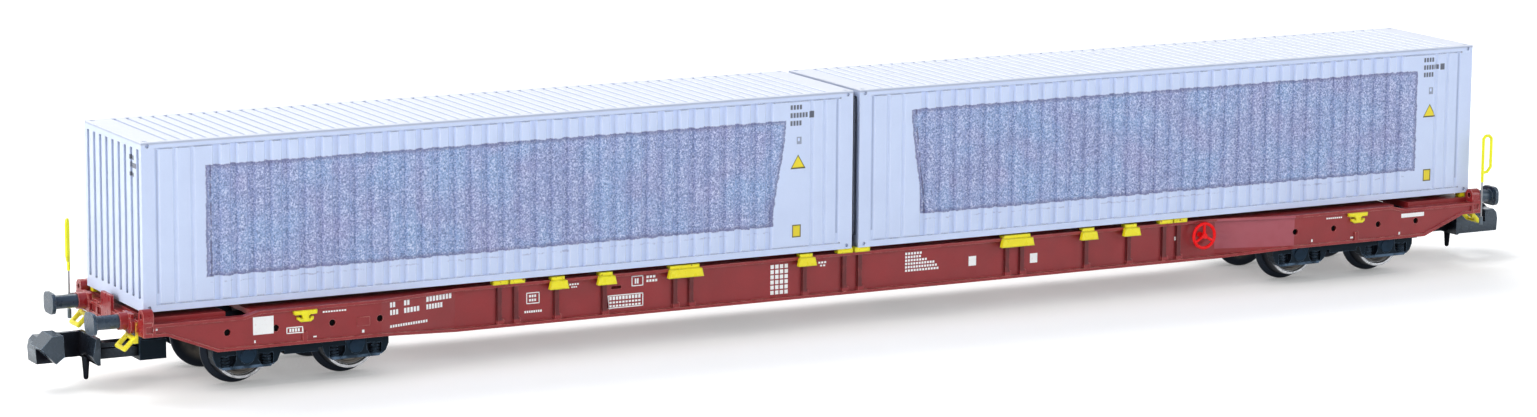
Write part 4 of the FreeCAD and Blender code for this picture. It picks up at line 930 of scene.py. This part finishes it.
def sill_marks():
    """All printed rectangles on the right sill, as (left, right, bottom, top)."""
    rectangles = list(SILL_PLATES)
    for left, right, bottom, top in SILL_FIELDS:
        rectangles.append((left, right, top - FIELD_LINE, top))
        rectangles.append((left, right, bottom, bottom + FIELD_LINE))
        rectangles.append((left, left + FIELD_LINE, bottom, top))
        rectangles.append((right - FIELD_LINE, right, bottom, top))
    for left, right, bottom, top, blocks in SILL_ROWS:
        pitch = (right - left) / blocks
        width = pitch * (BLOCK_SHARE if blocks > 1 else 1.0)
        rectangles += [(left + number * pitch, left + number * pitch + width, bottom, top)
                       for number in range(blocks)]
    return rectangles


def print_on_sill(node, side):
    """Lay the marks on a sill's web. The left sill carries them turned half round."""
    builder = bmesh.new()
    for left, right, bottom, top in sill_marks():
        columns = max(1, round((right - left) / MARK_STEP))
        rows = []
        for z in (bottom, top):
            row = []
            for number in range(columns + 1):
                x = (left + (right - left) * number / columns) * -side
                point, normal = on_web(node, side, x, z)
                row.append(builder.verts.new(point + normal * PRINT_PROUD * MM))
            rows.append(row)
        for number in range(columns):
            corners = [rows[0][number], rows[0][number + 1], rows[1][number + 1], rows[1][number]]
            builder.faces.new(corners)
    add_piece(f"marks_{node}", builder, MARK_WHITE, "wagon")


MARK_WHITE = mark_material()
print_on_sill("side_sill_right", -1)
print_on_sill("side_sill_left", 1)


# ------------------------------------------------------------------------------------------------
# Painted shade in the sills' holes
# ------------------------------------------------------------------------------------------------
# holes of a sill: distance from the lifting bracket in axle spacings, and the bracket's half length
SILL_HOLES = (-0.6978, -0.2578, 0.2578, 0.6978)
BRACKET_HALF = 1.2
HOLE_Z = 5.96
PLUG_RADIUS = 0.34
PLUG_DEPTH = 0.08
# from the web's outer face to the plug's middle, and how far beside the hole the web is measured
PLUG_BEHIND = 0.32
BESIDE_HOLE = 0.6


def hole_shades(side_name, side):
    """Dark discs inside a sill's holes, flush with the back of its web, as painted shade where the holes look
    through.
    """
    node = f"side_sill_{side_name}"
    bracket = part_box("lifting_brackets_right")[1][0] / MM - BRACKET_HALF
    spacing = abs(middle("axle_1")[0] - middle("axle_2")[0])
    builder = bmesh.new()
    for end in (-1, 1):
        for share in SILL_HOLES:
            x = end * bracket + share * spacing
            faces = [on_web(node, side, x + beside, HOLE_Z)[0].y for beside in (-BESIDE_HOLE, BESIDE_HOLE)]
            y = sum(faces) / 2 - side * PLUG_BEHIND * MM
            matrix = Matrix.Translation((x * MM, y, HOLE_Z * MM)) @ Matrix.Rotation(math.pi / 2, 4, "X")
            bmesh.ops.create_cone(builder, cap_ends=True, segments=24, radius1=PLUG_RADIUS * MM,
                                  radius2=PLUG_RADIUS * MM, depth=PLUG_DEPTH * MM, matrix=matrix)
    add_piece(f"hole_shades_{side_name}", builder, HOLE_SHADE, "wagon")


# flat black for the painted shade in the holes
HOLE_SHADE = moulding("hole_shade_black", paint(12, 10, 12), paint(30, 26, 28), 0.7, shine=0.1).material
hole_shades("right", -1)
hole_shades("left", 1)


# ------------------------------------------------------------------------------------------------
# Door gear of the containers
# ------------------------------------------------------------------------------------------------
# places as shares of the container's half width, and of the doors' height from bottom to top
DOOR_BARS = (-0.66, -0.26, 0.26, 0.66)
KEEPERS = (0.03, 0.3, 0.7, 0.97)
HINGES = (0.06, 0.28, 0.5, 0.72, 0.94)
INNER_HANDLE, OUTER_HANDLE = 0.36, 0.44
# the doors: how deep they lie behind the posts, and how far they stay above the container's bottom and
# below its top
DOOR_RECESS = 0.3
DOOR_BOTTOM, DOOR_TOP = 0.9, 0.7
# half width, half height, back and front from the doors' face, and rounding of the edges
GEAR = {
    "keeper": (0.3, 0.14, -0.02, 0.19, 0.04),
    "handle": (0.725, 0.09, 0.08, 0.2, 0.03),
    "catch": (0.14, 0.24, -0.02, 0.14, 0.03),
    "hinge": (0.35, 0.16, -0.02, 0.16, 0.05),
}
# middle of a handle and its catch from the bar, and of a hinge from the container's side
HANDLE_MIDDLE = 0.725
CATCH_MIDDLE = 1.16
HINGE_MIDDLE = 1.4


def rounded_block(builder, low, high, edge):
    """A box in a bmesh with its edges rounded. Corners are in millimetres."""
    size = [(b - a) * MM for a, b in zip(low, high)]
    centre = Vector([(a + b) / 2 * MM for a, b in zip(low, high)])
    matrix = Matrix.Translation(centre) @ Matrix.Diagonal((*size, 1.0))
    made = bmesh.ops.create_cube(builder, size=1.0, matrix=matrix)
    edges = list({line for corner in made["verts"] for line in corner.link_edges})
    bmesh.ops.bevel(builder, geom=edges, offset=edge * MM, segments=2, affect="EDGES", profile=0.5)


def door_gear(end_name):
    """Keepers and handles of the locking bars, and hinges, on the door end."""
    low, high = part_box(f"container_{end_name}_shell")
    half, doors = high[1] / MM, high[0] / MM - DOOR_RECESS
    bottom, top = low[2] / MM + DOOR_BOTTOM, high[2] / MM - DOOR_TOP
    builder = bmesh.new()

    def place(kind, y, height):
        """Put one piece of gear on the doors, at a share of their height."""
        half_width, half_height, back, front, edge = GEAR[kind]
        z = bottom + height * (top - bottom)
        rounded_block(builder, (doors + back, y - half_width, z - half_height),
                      (doors + front, y + half_width, z + half_height), edge)

    for share in DOOR_BARS:
        y = share * half
        for height in KEEPERS:
            place("keeper", y, height)
        inwards = 1 if share < 0 else -1
        height = INNER_HANDLE if abs(share) < 0.5 else OUTER_HANDLE
        place("handle", y + inwards * HANDLE_MIDDLE, height)
        place("catch", y + inwards * CATCH_MIDDLE, height)
    for side in (-1, 1):
        for height in HINGES:
            place("hinge", side * (half - HINGE_MIDDLE), height)
    add_piece(f"door_gear_{end_name}", builder, GEAR_WHITE, f"container_{end_name}")


GEAR_WHITE = moulding("door_gear_white", CONTAINER_WHITE, EDGE_WHITE, 0.36, edge_share=0.7,
                      grain=0.003, spread=0.02, crevice_shade=(1.0, 0.42, 0.1, 0.9)).material
door_gear("rear")
door_gear("front")

scene = bpy.context.scene
scene.view_settings.view_transform = "Standard"
